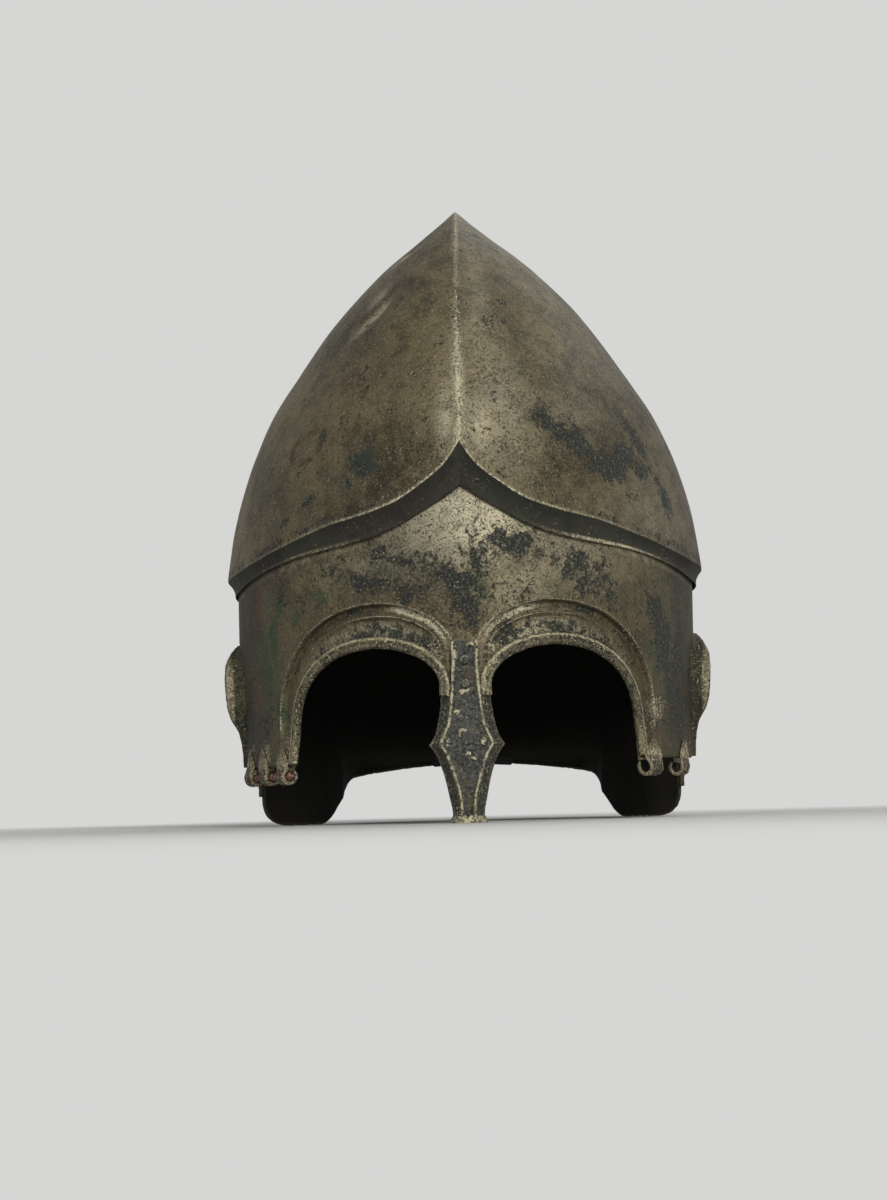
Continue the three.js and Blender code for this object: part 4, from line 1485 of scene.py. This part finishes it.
@dataclass
class NasalGuard:
    """The faceted nasal: a plate over the tongue, and below it a channel with two spurs.

    A mark or a stain holds its place across, height, half width and half height in millimetres,
    and its strength.
    """

    shop: Workshop
    height: float = 64.7 * MM
    front_y: float = -116.5 * MM
    plate: float = 2.2 * MM
    plate_lip: float = 0.1 * MM
    plate_wall: float = 0.8 * MM
    depth: float = 6.5 * MM
    wall: float = 2 * MM
    throat_height: float = 48.5 * MM
    throat_reach: float = 3.2 * MM
    levels: int = 220
    panel_points: int = 42
    side_points: int = 8
    ridge: float = 0.5 * MM
    ridge_reach: float = 0.6 * MM
    hollow: float = 0.35 * MM
    hollow_reaches: float = 4.0
    crust: Grain = Grain(67, 1.2 * MM, 0.14 * MM)
    edge_pale: float = 0.7
    edge_worn: float = 0.8
    margin_reach: float = 0.8 * MM
    margin_pales: Span = (0.55, 1.0)
    spur_hump: Span = (28 * MM, 2.5 * MM)
    foot_pale: float = 0.6
    foot_height: float = 2.2 * MM
    foot_fade: float = 1 * MM
    facet_pale: float = 0.24
    facet_worn: float = 0.15
    facet_dark: float = 0.5
    facet_band: float = 0.4
    marks: tuple[Row, ...] = (
        (2.7, 63.6, 2.2, 0.9, 0.75), (-3.5, 60.1, 0.9, 2.8, 0.7), (-0.4, 46.9, 2.3, 0.9, 0.8),
        (-3.4, 39.7, 1.5, 1.3, 0.8), (0.3, 37.4, 0.5, 0.5, 0.8), (-1.5, 33.0, 1.3, 0.9, 0.7),
        (-2.3, 31.6, 0.7, 1.3, 0.66), (6.3, 28.7, 1.5, 1.7, 0.72), (0.9, 24.6, 1.9, 1.2, 0.8),
        (2.3, 22.9, 1.4, 0.8, 0.74), (-6.8, 28.4, 1.0, 1.6, 0.5), (-0.2, 1.0, 4.4, 1.0, 0.8),
    )
    stains: tuple[Row, ...] = (
        (0.8, 8.5, 2.0, 4.5, 0.6), (0.4, 53.0, 2.2, 4.0, 0.55), (-0.5, 14, 2.4, 3.0, 0.5),
        (-2.5, 21.0, 2.0, 4.0, 0.42), (3.4, 33.0, 2.0, 3.0, 0.42),
    )
    panel_halves: Curve = Curve((
        (0, 3.9), (2, 3.3), (4.6, 2.9), (9.5, 3.3), (16.8, 5.1), (24, 7.6), (28.6, 9.6), (32, 8.2),
        (36.2, 6.6), (43.7, 5.7), (50.9, 5.0), (58.6, 4.7), (63.2, 4.9), (64.7, 4.6),
    ))
    side_halves: Curve = Curve((
        (0, 6.6), (1.2, 6.5), (3, 5.7), (9.5, 6.8), (16.8, 8.4), (24, 11.0), (27.2, 13.0), (28, 13.6),
        (28.8, 12.9), (32, 11.3), (36.2, 10.2), (43, 9.1), (44.2, 9.0),
    ))
    finish: AgedBronze = AgedBronze(
        "nasal_bronze", low_tone=Tone(40, 42, 39), high_tone=Tone(76, 77, 71), grey_tone=Tone(58, 61, 61),
        worn_and_highlight_tone=Tone(140, 137, 122), pale_tone=Tone(196, 188, 152), rust_tone=Tone(78, 66, 46),
        mottle_noise=(220.0, 8.0, 0.7, 0.4), cluster_noise=(300.0, 6.0, 0.7, 0.8),
        stipple_noise=(700.0, 8.0, 0.8, 0.4), metal=0.45, speckle=0.74, fleck=0.5
    )

    def set_back(self, inward: Array) -> Array:
        """How far the panel lies behind the ridges along its edges."""
        ridge = self.ridge * hump(inward, self.ridge_reach, self.ridge_reach)
        hollow = self.hollow * smooth(inward, self.ridge_reach, self.hollow_reaches * self.ridge_reach)
        return self.ridge - (ridge - hollow)

    def run(self, here: tuple[Array, Array], there: tuple[Array, Array], z: Array) -> Array:
        """Points from one corner of each level to the next, the first corner left out."""
        step = np.linspace(0, 1, self.side_points + 1)[None, 1:]
        x, y = (between(low[:, None], high[:, None], step) for low, high in zip(here, there))
        return np.stack([x, y, repeated(z, self.side_points)], -1)

    def flanks(self, panel: Array, side: Array, above: Array, z: Array) -> Array:
        """Runs each level on from the panel's right edge, round the back and up to its left edge.

        Args:
            panel: Half width of the panel at each level.
            side: Half width of the whole nasal.
            above: 1 for the levels of the plate, 0 for the channel.
            z: Heights of the levels.

        Returns:
            Points, level by level.
        """
        wall = between(self.wall, self.plate_wall, above)
        front = np.full(z.shape, self.front_y)
        back = self.front_y + between(self.depth, self.plate, above)
        floor = self.front_y + between(self.wall, self.plate, above)
        right = [(panel, front), (side, back), (side - wall, back), (panel - wall / 2, floor)]
        corners = right + [(-x, y) for x, y in reversed(right)]
        runs = [self.run(here, there, z) for here, there in zip(corners, corners[1:])]
        return np.concatenate(runs, axis=1)[:, :-1]

    def build(self) -> Piece:
        """Builds the nasal from its foot to its top.

        Returns:
            The dressed piece.
        """
        z = np.linspace(0, self.height, self.levels)
        above = smooth(z, self.throat_height - self.throat_reach, self.throat_height)
        panel = self.panel_halves(z / MM) * MM
        side = between(self.side_halves(z / MM) * MM, panel + self.plate_lip, above)
        across = np.linspace(-1, 1, self.panel_points)[None, :] * panel[:, None]
        inward = panel[:, None] - np.abs(across)
        face = np.stack([across, self.front_y + self.set_back(inward), repeated(z, self.panel_points)], -1)
        points = np.concatenate([face, self.flanks(panel, side, above, z)], axis=1)
        masks = self.masks(points, inward, side)
        points[..., 1] += self.crust.at(points) + self.crust.depth
        return settle(sweep("nasal", points, masks), self.finish.make(), "nasal_guard")

    def masks(self, points: Array, inward: Array, side: Array) -> Masks:
        """What the nasal carries, place by place.

        Args:
            points: Places on it, level by level, the panel first.
            inward: Distances inside the panel's edge.
            side: Half width of each level.

        Returns:
            Shares, by mask.
        """
        z = points[..., 2]
        edge, facet = np.zeros(z.shape), np.ones(z.shape)
        edge[:, :self.panel_points] = hump(inward, self.ridge_reach, self.ridge_reach)
        facet[:, :self.panel_points] = 0.0
        margin = hump(np.abs(points[..., 0]), side[:, None], self.margin_reach)
        foot = smooth(-z, -self.foot_height - self.foot_fade, -self.foot_height)
        tipped = margin * between(*self.margin_pales, hump(z, *self.spur_hump))
        marked = self.marked(self.marks, points)
        pale = peak(self.foot_pale * foot, self.facet_pale * facet)
        return {
            Mask.PALE: peak(self.edge_pale * edge, self.edge_pale * tipped, pale, marked),
            Mask.WORN: peak(self.edge_worn * edge, self.edge_worn * margin, self.facet_worn * facet),
            Mask.RUST: self.marked(self.stains, points),
            Mask.PATCH: self.facet_dark * facet,
            Mask.BAND: self.facet_band * facet * (1 - margin),
        }

    def marked(self, marks: Sequence[Row], points: Array) -> Array:
        """The strongest of several small marks at each place."""
        covers = []
        for x, z, half_width, half_height, strength in marks:
            across = (points[..., 0] / MM - x) / half_width
            up = (points[..., 2] / MM - z) / half_height
            covers.append(strength * np.exp(-(across**2 + up**2)))
        return peak(*covers)


@dataclass
class NasalRivets:
    """Two worn rivets through the nasal and the tongue."""

    shop: Workshop
    places: tuple[tuple[str, float], ...] = (("rivet_upper", 58 * MM), ("rivet_lower", 49.5 * MM))
    front_y: float = -116.8 * MM
    back_y: float = -112.2 * MM
    shank: float = 1.3 * MM
    head: float = 1.4 * MM
    head_height: float = 0.12 * MM
    ring_reach: float = 0.4 * MM
    ring_pale: float = 0.5
    sides: int = 40
    dome_steps: int = 9
    finish: AgedBronze = AgedBronze(
        "rivet_bronze", low_tone=Tone(50, 51, 46), high_tone=Tone(88, 87, 78),
        cluster_noise=(300.0, 6.0, 0.7, 0.8), stipple_noise=(700.0, 8.0, 0.8, 0.4)
    )

    def profile(self) -> Array:
        """The rivet's outline from its front to its back, as distances from the axis and places along it."""
        turn = np.linspace(0, math.pi / 2, self.dome_steps)
        dome = np.stack([self.head * np.sin(turn), -self.head_height * np.cos(turn)], 1)
        shank = [[self.shank, self.front_y], [self.shank, self.back_y]]
        return np.concatenate([dome + [0, self.front_y], shank, dome[::-1] * [1, -1] + [0, self.back_y]])

    def build(self) -> list[Piece]:
        """Turns both rivets.

        Returns:
            The dressed pieces.
        """
        away, along = self.profile().T
        turn = np.linspace(0, 2 * math.pi, self.sides, endpoint=False)[:, None]
        faces = grid_faces(self.sides, len(away), True, False)
        masks = {Mask.PALE: self.ring_pale * hump(away, self.head, self.ring_reach)[None]}
        material = self.finish.make()
        made = []
        for name, height in self.places:
            points = np.broadcast_arrays(away * np.cos(turn), along, away * np.sin(turn) + height)
            piece = lay_mesh(name, np.stack(points, -1), faces, masks)
            made.append(settle(piece, material, f"nasal_{name}"))
        return made


@dataclass
class OpeningRims:
    """The raised beads round the eyes and the flanges turned outward round the ears."""

    shop: Workshop
    spacing: float = 0.7 * MM
    crust: Grain = Grain(71, 1.6 * MM, 0.15 * MM)
    finish: AgedBronze = AgedBronze(
        "rim_bronze", low_tone=Tone(58, 53, 38), high_tone=Tone(118, 109, 80), pale_tone=Tone(196, 186, 150),
        rust_tone=Tone(128, 98, 70),
        cluster_noise=(240.0, 6.0, 0.7, 0.8), stipple_noise=(600.0, 8.0, 0.8, 0.4)
    )
    bead_width: float = 4 * MM
    bead_height: float = 1.3 * MM
    bead_crust: float = 0.3 * MM
    bead_roundness: float = 0.7
    bead_belly: float = 0.4 * MM
    bead_overhang: float = 0.8 * MM
    bead_points: int = 26
    bead_pale: float = 0.2
    bead_dark: float = 0.44
    bead_green: float = 0.38
    crown_hump: Span = (0.6 * MM, 0.6 * MM)
    crown_worn: float = 0.45
    line_inset: float = 0.9 * MM
    line_reach: float = 0.6 * MM
    # The upper line is wear and a painted highlight.
    line_pale_highlight: float = 0.62
    line_worn_highlight: float = 0.85
    leg_height_span: Span = (-38 * MM, -26 * MM)
    leg_angle_span: Span = (30, 40)
    leg_pale: float = 0.34
    leg_clear: float = 0.5
    leg_rust: float = 0.46
    nasal_span: Span = (-11, -7)
    nasal_left_share: float = 0.6
    nasal_pale: float = 0.44
    flange_height: float = 8.8 * MM
    flange_lean: float = 1.6 * MM
    flange_fillet: float = 2.6 * MM
    flange_points: int = 10
    flange_reach: Curve = Curve((
        (11, 0.5), (20, 1.2), (30, 1.7), (36, 3.0), (43, 6.5), (50, 7.9), (56, 8.1), (62, 7.3), (67, 5.0),
        (72, 1.4),
    ))
    face_span: Span = (4.1 * MM, 4.9 * MM)
    middle_hump: Span = (50 * MM, 12 * MM)
    flange_pales: Span = (0.1, 0.46)
    face_pales: Span = (0.5, 1.0)
    face_wears: Span = (0.3, 1.0)
    flange_worn: float = 0.6
    edge_reach: float = 0.6 * MM
    edge_clear: float = 0.6
    edge_dark: float = 0.5
    root_dark: float = 0.4
    root_green: float = 0.4
    # Painted shade at the root beside the shell.
    root_shade: float = 0.5

    def rim(self, name: str, node: str, run: Array, side: Side, section: Array, masks: Masks) -> Piece:
        """Sweeps one rim along its run.

        Args:
            name: Name of the piece.
            node: Solid that it stands for.
            run: Angles and heights on the right side.
            side: The side it is for.
            section: The section at each place, as across and outward.
            masks: What each section's points carry.

        Returns:
            The dressed piece.
        """
        form = self.shop.form
        angle, z = run.T
        feet = form.shell(angle, z)
        normal = form.outward(form.shell, angle, z)
        across = unit(np.cross(normal, unit(np.gradient(feet, axis=0))))
        feet = self.shop.hammered(feet, normal)
        points = feet[:, None] + across[:, None] * section[..., :1] + normal[:, None] * section[..., 1:]
        middle = points.mean(axis=1, keepdims=True)
        points = points + unit(points - middle) * (self.crust.at(points) - self.crust.depth)[..., None]
        piece = sweep(name, side.mirror(points), masks)
        return settle(piece, self.finish.make(), node)

    def bead(self) -> Array:
        """The section of a flattened round bead that hangs a little over the edge."""
        turn = np.linspace(0, 2 * math.pi, self.bead_points, endpoint=False)
        half = (self.bead_width + self.bead_overhang) / 2
        across = half - self.bead_overhang - half * np.cos(turn)
        rise = np.maximum(np.sin(turn), 0) ** self.bead_roundness * (self.bead_height + self.bead_crust)
        drop = np.minimum(np.sin(turn), 0) * self.bead_belly
        return np.stack([across, rise + drop], 1)[None]

    def bead_masks(self, section: Array, run: Array, side: Side) -> Masks:
        """What an eye's bead carries: a pale upper line of wear and painted highlight, crust on its leg and a
        speckled dark face.

        Args:
            section: The bead's section.
            run: Angles and heights of its sections.
            side: The side it is on.

        Returns:
            Shares, by mask.
        """
        across, rise = section[..., 0], section[..., 1]
        angle, z = run[:, :1], run[:, 1:]
        # Wear and a painted highlight along the bead's upper side.
        line = hump(across, self.bead_width - self.line_inset, self.line_reach)
        line = line * smooth(rise, 0.0, self.line_reach)
        crown = hump(across, *self.crown_hump)
        leg = smooth(-z, *self.leg_height_span) * smooth(angle, *self.leg_angle_span)
        nasal = smooth(-angle, *self.nasal_span) * (1.0 if side is Side.RIGHT else self.nasal_left_share)
        pale = peak(self.line_pale_highlight * line, self.leg_pale * leg, self.nasal_pale * nasal)
        return {
            Mask.PALE: np.maximum(self.bead_pale, pale),
            Mask.WORN: peak(self.line_worn_highlight * line, self.crown_worn * crown),
            Mask.PATCH: self.bead_dark * (1 - line) * (1 - self.leg_clear * leg),
            Mask.GREEN: self.bead_green * (1 - line),
            Mask.RUST: self.leg_rust * leg,
        }

    def flange(self, z: Array) -> Array:
        """A thin flange, tallest half way up, with a rounded edge.

        Args:
            z: Heights of its sections.

        Returns:
            The section at each height, as across and outward.
        """
        form = self.shop.form
        turn = np.linspace(0, math.pi, self.flange_points)
        step = np.linspace(0, 1, self.flange_points)
        half = form.sheet / 2
        root = np.array([[-form.seat_gap - form.sheet, -form.sheet], [-form.seat_gap, -form.sheet]])
        sections = []
        for reach in self.flange_reach(z / MM) * MM:
            lean = self.flange_lean * reach / self.flange_height
            fillet = self.flange_fillet * reach / self.flange_height * (1 - step) ** 3
            rise = step * (reach - half)
            up = np.stack([lean * step + fillet - form.seat_gap, rise], 1)
            across = lean - form.seat_gap - half + half * np.cos(turn)
            edge = np.stack([across, reach - half + half * np.sin(turn)], 1)
            down = np.stack([lean * step - form.seat_gap - form.sheet, rise], 1)[::-1]
            sections.append(np.concatenate([up, edge[1:-1], down, root]))
        return np.stack(sections)

    def flange_masks(self, section: Array, z: Array) -> Masks:
        """What an ear's flange carries: a pale worn face over a root with dark and green patina and painted
        shade beside the shell, and a dark edge.

        Args:
            section: The flange's sections.
            z: Their heights.

        Returns:
            Shares, by mask.
        """
        rise = section[..., 1]
        face = smooth(rise, *self.face_span)
        edge = hump(rise, rise.max(axis=1, keepdims=True), self.edge_reach)
        middle = hump(z[:, None], *self.middle_hump)
        pale = between(*self.flange_pales, face * between(*self.face_pales, middle))
        return {
            Mask.PALE: pale * (1 - self.edge_clear * edge),
            Mask.WORN: self.flange_worn * face * between(*self.face_wears, middle),
            Mask.PATCH: peak(self.edge_dark * edge, self.root_dark * (1 - face)),
            Mask.GREEN: self.root_green * (1 - face),
            # Painted shade at the root beside the shell.
            Mask.BAND: self.root_shade * (1 - face),
        }

    def build(self) -> list[Piece]:
        """Builds the four rims.

        Returns:
            The dressed pieces.
        """
        opening = OpeningRun(self.shop.form)
        eye, ear = opening.rim(opening.eye(), self.spacing), opening.rim(opening.ear(), self.spacing)
        bead, flange = self.bead(), self.flange(ear[:, 1])
        worn = self.flange_masks(flange, ear[:, 1])
        made = []
        for side in Side:
            eyed = self.bead_masks(bead, eye, side)
            made.append(self.rim(f"eye_bead_{side.word}", f"eye_rim_{side.word}", eye, side, bead, eyed))
            made.append(self.rim(f"ear_flange_{side.word}", f"ear_rim_{side.word}", ear, side, flange, worn))
        return made


@dataclass
class Hinges:
    """Rolled knuckles under the cheekpiece edges, and the pin left in one of them."""

    shop: Workshop
    front_angle: float = 47.0
    rear_angle: float = 68.0
    places: tuple[tuple[Side, str, float], ...] = (
        (Side.LEFT, "front", 0.1), (Side.LEFT, "middle", 0.53), (Side.LEFT, "rear", 0.92),
        (Side.RIGHT, "front", 0.12), (Side.RIGHT, "rear", 0.78),
    )
    radius: float = 3.25 * MM
    length: float = 6.4 * MM
    strip: float = 1.2 * MM
    tail: float = 7 * MM
    tail_foot_share: float = 0.8
    lip: float = 7.5 * MM
    lip_power: float = 1.2
    lip_share: float = 0.88
    lip_play: float = 0.3 * MM
    lip_sheet: float = 0.35 * MM
    brow_steps: int = 10
    brow_power: float = 1.6
    flare: float = 1.8 * MM
    flare_rise: float = 2.5 * MM
    front_reach: float = 3.5 * MM
    seam_gap: float = 0.12 * MM
    seam_turn: float = 45.0
    front_turn: float = 165.0
    bore_end: float = 68.0
    drop_share: float = 0.5
    drop_turn: float = 80.0
    drop_power: int = 3
    end_share: float = 0.955
    end_span: Span = (0.38, 0.5)
    turns: int = 40
    sections: int = 13
    crust: Grain = Grain(83, 1.5 * MM, 0.25 * MM)
    crust_clear: float = 0.6
    # The face and the mouths carry wear and painted highlights.
    face_hump: Span = (0.45, 0.35)
    face_pales: Span = (0.3, 0.52)
    face_worn_highlight: float = 0.5
    mouth_pale_highlight: float = 0.52
    mouth_worn_highlight: float = 0.9
    mouth_clear: float = 0.5
    low_dark: float = 0.5
    high_dark: float = 0.3
    low_rust: float = 0.54
    rust_right_share: float = 0.5
    # Painted shade on the knuckle's lower side.
    low_shade: float = 0.6
    pin_radius: float = 1.5 * MM
    pin_crust: float = 0.2 * MM
    pin_overrun: float = 0.8 * MM
    pin_sections: int = 60
    pin_turns: int = 24
    pin_pale: float = 0.3
    finish: AgedBronze = AgedBronze(
        "hinge_bronze", low_tone=Tone(62, 55, 41), high_tone=Tone(112, 102, 78),
        pale_tone=Tone(190, 176, 142), rust_tone=Tone(104, 70, 54),
        cluster_noise=(260.0, 6.0, 0.7, 0.8), stipple_noise=(620.0, 8.0, 0.8, 0.4)
    )
    pin_finish: AgedBronze = AgedBronze(
        "pin_rust", low_tone=Tone(80, 46, 34), high_tone=Tone(124, 76, 56), grey_tone=Tone(96, 60, 46),
        pale_tone=Tone(190, 170, 150), metal=0.1
    )

    def axis(self) -> tuple[Array, Array, Array, Array]:
        """Start of the right hinge's axis, its run to the other end, and the ways along and inward."""
        form = self.shop.form
        ends = []
        for angle in (self.front_angle, self.rear_angle):
            place = np.array([angle]), np.array([form.hinge_line_height])
            normal = form.outward(form.shell, *place)[0]
            normal[2] = 0
            end = form.shell(*place)[0] - unit(normal) * form.sheet / 2
            end[2] = form.hinge_line_height - form.seat_gap - self.radius
            ends.append(end)
        span = ends[1] - ends[0]
        return ends[0], span, unit(span), np.cross(UP, unit(span))

    def section(self, wall: float, drop: float, lip: float) -> Array:
        """The strip's section: behind the shell's edge, under it, up its face, and rolled below it.

        Args:
            wall: How far in from the axis the shell's face lies.
            drop: How far the bore is drawn up and out, as a share of its radius.
            lip: How far the strip runs up the shell's face.

        Returns:
            Points inward of and above the axis, in order.
        """
        form = self.shop.form
        back = wall + form.sheet + form.seat_gap
        edge = self.radius + form.seat_gap
        under = edge - self.seam_gap
        face = wall - self.lip_play
        seam = FULL_TURN + self.seam_turn
        turn = turns(self.front_turn, seam, self.turns)
        roll = self.radius * np.stack([np.cos(turn), np.sin(turn)], 1)
        turn = turns(seam, self.bore_end, self.turns)
        away = np.maximum(np.cos(turn - math.radians(self.drop_turn)), 0)
        reach = (self.radius - self.strip) * (1 + drop * away**self.drop_power)
        hole = reach[:, None] * np.stack([np.cos(turn), np.sin(turn)], 1)
        tail = [
            (back + self.strip, self.tail_foot_share * self.radius),
            (back + self.strip, edge + self.tail),
            (back, edge + self.tail),
            (back, under),
            (face + self.seam_gap, under),
            (face + self.seam_gap, edge + lip),
        ]
        share = np.linspace(0, 1, self.brow_steps)[:-1]
        start = face - self.lip_sheet * (1 - lip / (2 * self.lip))
        inward = between(start, roll[0, 0], smooth(share, 0.0, 1.0) ** self.brow_power)
        brow = np.stack([inward, between(edge + lip, roll[0, 1], share)], 1)
        return np.concatenate([tail, brow, roll, hole])

    def knuckle(self, side: Side, place: str, share: float) -> Piece:
        """Rolls one strip into a knuckle that flows down from the shell's face.

        Args:
            side: Which hinge.
            place: Where on it, in a word.
            share: Where on its axis, from front to rear.

        Returns:
            The dressed piece.
        """
        form = self.shop.form
        start, span, along, inward = self.axis()
        centre = start + span * share
        opened = side is Side.RIGHT and place == "front"
        steps = np.linspace(-0.5, 0.5, self.sections)
        rings = []
        for step in steps:
            away = step * self.length - (self.front_reach * (0.5 - step) if opened else 0.0)
            middle = centre + along * away
            angle = between(self.front_angle, self.rear_angle, share + away / np.linalg.norm(span))
            wall = form.shell(np.array([angle]), np.array([form.hinge_line_height]))[0]
            lip = self.lip * (1 - self.lip_share * abs(2 * step) ** self.lip_power)
            shape = self.section(float((wall - middle) @ inward), self.drop_share if opened else 0.0, lip)
            bevel = between(1.0, self.end_share, smooth(abs(step), *self.end_span))
            rings.append(middle + shape[:, :1] * bevel * inward + shape[:, 1:] * bevel * UP)
        points = np.stack(rings)
        above = points[..., 2] - start[2]
        spread = smooth(above, self.radius - self.flare_rise, self.radius + self.flare_rise)
        points = points + along * (2 * self.flare * steps[:, None] * spread)[..., None]
        clear = 1 - self.crust_clear * smooth(above, -self.radius, self.radius)
        points = points + inward * (self.crust.at(points) * clear)[..., None]
        high = smooth(above, 0.0, self.radius + self.lip)
        piece = sweep(f"knuckle_{side.word}_{place}", side.mirror(points), self.masks(high, side))
        return settle(piece, self.finish.make(), f"hinge_{piece.name}")

    def masks(self, high: Array, side: Side) -> Masks:
        """What a knuckle carries: mouths and face worn and carrying painted highlights, dark patina, rust and
        painted shade below, and painted shade in the bore.

        Args:
            high: How high up each point lies, from 0 to 1.
            side: Which hinge it is on.

        Returns:
            Shares, by mask.
        """
        mouth, bore = np.zeros(high.shape), np.zeros(high.shape)
        mouth[[0, -1]] = 1.0
        # The bore is painted near-black as shade inside.
        bore[1:-1, -self.turns:] = 1.0
        # Wear and painted highlights on the face and the mouths.
        face = hump(high, *self.face_hump)
        rust = self.low_rust * (1.0 if side is Side.LEFT else self.rust_right_share)
        return {
            Mask.PALE: peak(between(*self.face_pales, face), self.mouth_pale_highlight * mouth),
            Mask.PATCH: between(self.low_dark, self.high_dark, high) * (1 - self.mouth_clear * mouth),
            Mask.RUST: rust * (1 - high),
            Mask.WORN: peak(self.face_worn_highlight * face, self.mouth_worn_highlight * mouth),
            # Painted shade on the lower side.
            Mask.BAND: self.low_shade * (1 - high) * (1 - mouth),
            Mask.INSIDE: bore,
        }

    def pin(self) -> Piece:
        """Turns the rusted pin in the left knuckles.

        Returns:
            The dressed piece.
        """
        start, span, along, inward = self.axis()
        shares = [share for side, _, share in self.places if side is Side.LEFT]
        reach = self.length / 2 + self.pin_overrun
        low, high = min(shares) * np.linalg.norm(span) - reach, max(shares) * np.linalg.norm(span) + reach
        steps = np.linspace(low, high, self.pin_sections)
        turn = np.linspace(0, 2 * math.pi, self.pin_turns, endpoint=False)
        ring = np.cos(turn)[:, None] * inward + np.sin(turn)[:, None] * UP
        points = start + steps[:, None, None] * along + ring[None] * self.pin_radius
        crust = Grain(self.crust.seed, self.crust.reach, self.pin_crust)
        points = points + ring[None] * crust.at(points)[..., None]
        piece = sweep("pin_left", Side.LEFT.mirror(points), {Mask.PALE: np.full(1, self.pin_pale)})
        return settle(piece, self.pin_finish.make(), "hinge_pin_left", "hinge_pin")

    def build(self) -> list[Piece]:
        """Builds the knuckles and the pin."""
        return [self.knuckle(*place) for place in self.places] + [self.pin()]


@dataclass(frozen=True)
class Studio:
    """Camera at the photograph's angle, a pale floor that sweeps up behind, and soft light."""

    lens: float = 78.75
    sensor: float = 36.0
    camera_place: Place = (9.3 * MM, -1048.7 * MM, 6.0 * MM)
    camera_turns: tuple[tuple[float, str], ...] = ((1.0, "Z"), (94.5, "X"), (-1.5, "Z"))
    clip_start: float = 5 * MM
    floor_half: float = 3.0
    floor_front: float = -2.5
    floor_back: float = 1.6
    sweep_radius: float = 0.9
    wall_height: float = 3.0
    sweep_steps: int = 24
    floor_tone: Tone = Tone(206, 205, 202)
    floor_tone_other: Tone = Tone(210, 209, 206)
    floor_noise: Row = (3.0, 4.0, 0.6, 0.0)
    floor_roughness: float = 0.9
    backdrop_tone: Tone = Tone(214, 214, 213)
    glow_start: Span = (0.14, 0.7)
    world_tone: Tone = Tone(214, 216, 220)
    world_strength: float = 0.28
    lamps: tuple[tuple[str, Place, float, float], ...] = (
        ("key", (0.8, -2.6, 1.5), 1.3, 64.0),
        ("fill", (-1.9, -2.0, 1.6), 2.0, 5.0),
        ("back", (0.8, 2.2, 2.1), 2.0, 24.0),
    )
    aim: Place = (0.0, -0.02, 0.12)

    def camera(self) -> None:
        """Sets the camera where the photograph was taken from."""
        data = bpy.data.cameras.new("camera")
        data.lens = self.lens
        data.sensor_fit = "VERTICAL"
        data.sensor_height = self.sensor
        data.clip_start = self.clip_start
        eye = put("camera", data)
        eye.matrix_world = Matrix.Translation(self.camera_place)
        for angle, axis in self.camera_turns:
            eye.matrix_world @= Matrix.Rotation(math.radians(angle), 4, axis)
        bpy.context.scene.camera = eye

    def floor(self) -> None:
        """Lays the floor and sweeps it up into a backdrop."""
        turn = np.linspace(0, math.pi / 2, self.sweep_steps)
        bend_y = self.floor_back + self.sweep_radius * np.sin(turn)
        bend_z = self.sweep_radius * (1 - np.cos(turn))
        y = np.concatenate([[self.floor_front], bend_y, [bend_y[-1]]])
        z = np.concatenate([[0.0], bend_z, [self.wall_height]])
        columns = [np.stack([np.full(len(y), x), y, z], 1) for x in (-self.floor_half, self.floor_half)]
        mesh = bpy.data.meshes.new("floor")
        faces = grid_faces(2, len(y), False, False)
        mesh.from_pydata(np.concatenate(columns).tolist(), [], faces.tolist())
        mesh.shade_smooth()
        mesh.materials.append(self.paper())
        put("floor", mesh)

    def paper(self) -> Material:
        """Pale paper that shows an even tone to the camera and in reflections away from the helmet.

        Returns:
            The material.
        """
        bench = NodeBench(bpy.data.materials.new("floor_paper"))
        clouds = bench.noise(*self.floor_noise)
        tone = bench.blend(clouds, self.floor_tone, self.floor_tone_other)
        paper = bench.tree.nodes["Principled BSDF"]
        bench.fill(paper, {"Base Color": tone, "Roughness": self.floor_roughness})
        away = bench.lay("VectorMath", {0: bench.place})
        away.operation = "LENGTH"
        share = bench.reckon("MULTIPLY", bench.seen(), bench.window(away.outputs["Value"], *self.glow_start))
        glow = bench.lay("Emission", {"Color": self.backdrop_tone})
        bench.show(share, paper.outputs["BSDF"], glow.outputs["Emission"], "Material Output")
        return bench.owner

    def lights(self) -> None:
        """Hangs the lamps."""
        for name, place, size, power in self.lamps:
            data = bpy.data.lights.new(name, "AREA")
            data.shape = "SQUARE"
            data.size = size
            data.energy = power
            lamp = put(name, data)
            lamp.location = place
            lamp.rotation_euler = (Vector(self.aim) - Vector(place)).to_track_quat("-Z", "Y").to_euler()

    def world(self) -> None:
        """Gives the world its soft light, and the backdrop's tone to the camera and in reflections."""
        bench = NodeBench(bpy.data.worlds.new("studio"))
        light = bench.tree.nodes["Background"]
        bench.fill(light, {"Color": self.world_tone, "Strength": self.world_strength})
        shown = bench.lay("Background", {"Color": self.backdrop_tone})
        bench.show(bench.seen(), light.outputs["Background"], shown.outputs["Background"], "World Output")
        bpy.context.scene.world = bench.owner

    def build(self) -> None:
        """Sets the studio up."""
        self.camera()
        self.floor()
        self.lights()
        self.world()
        bpy.context.scene.view_settings.view_transform = "Standard"


def main() -> None:
    """Builds the helmet piece by piece, then the studio round it."""
    logging.basicConfig(level=logging.INFO, format="%(message)s")
    shop = Workshop()
    for maker in (LowerShell, CrownCap, NasalGuard, NasalRivets, OpeningRims, Hinges):
        made = maker(shop).build()
        for piece in made if isinstance(made, list) else [made]:
            log.info("%s: %d faces", piece.name, len(piece.data.polygons))
    Studio().build()


if __name__ == "__main__":
    main()
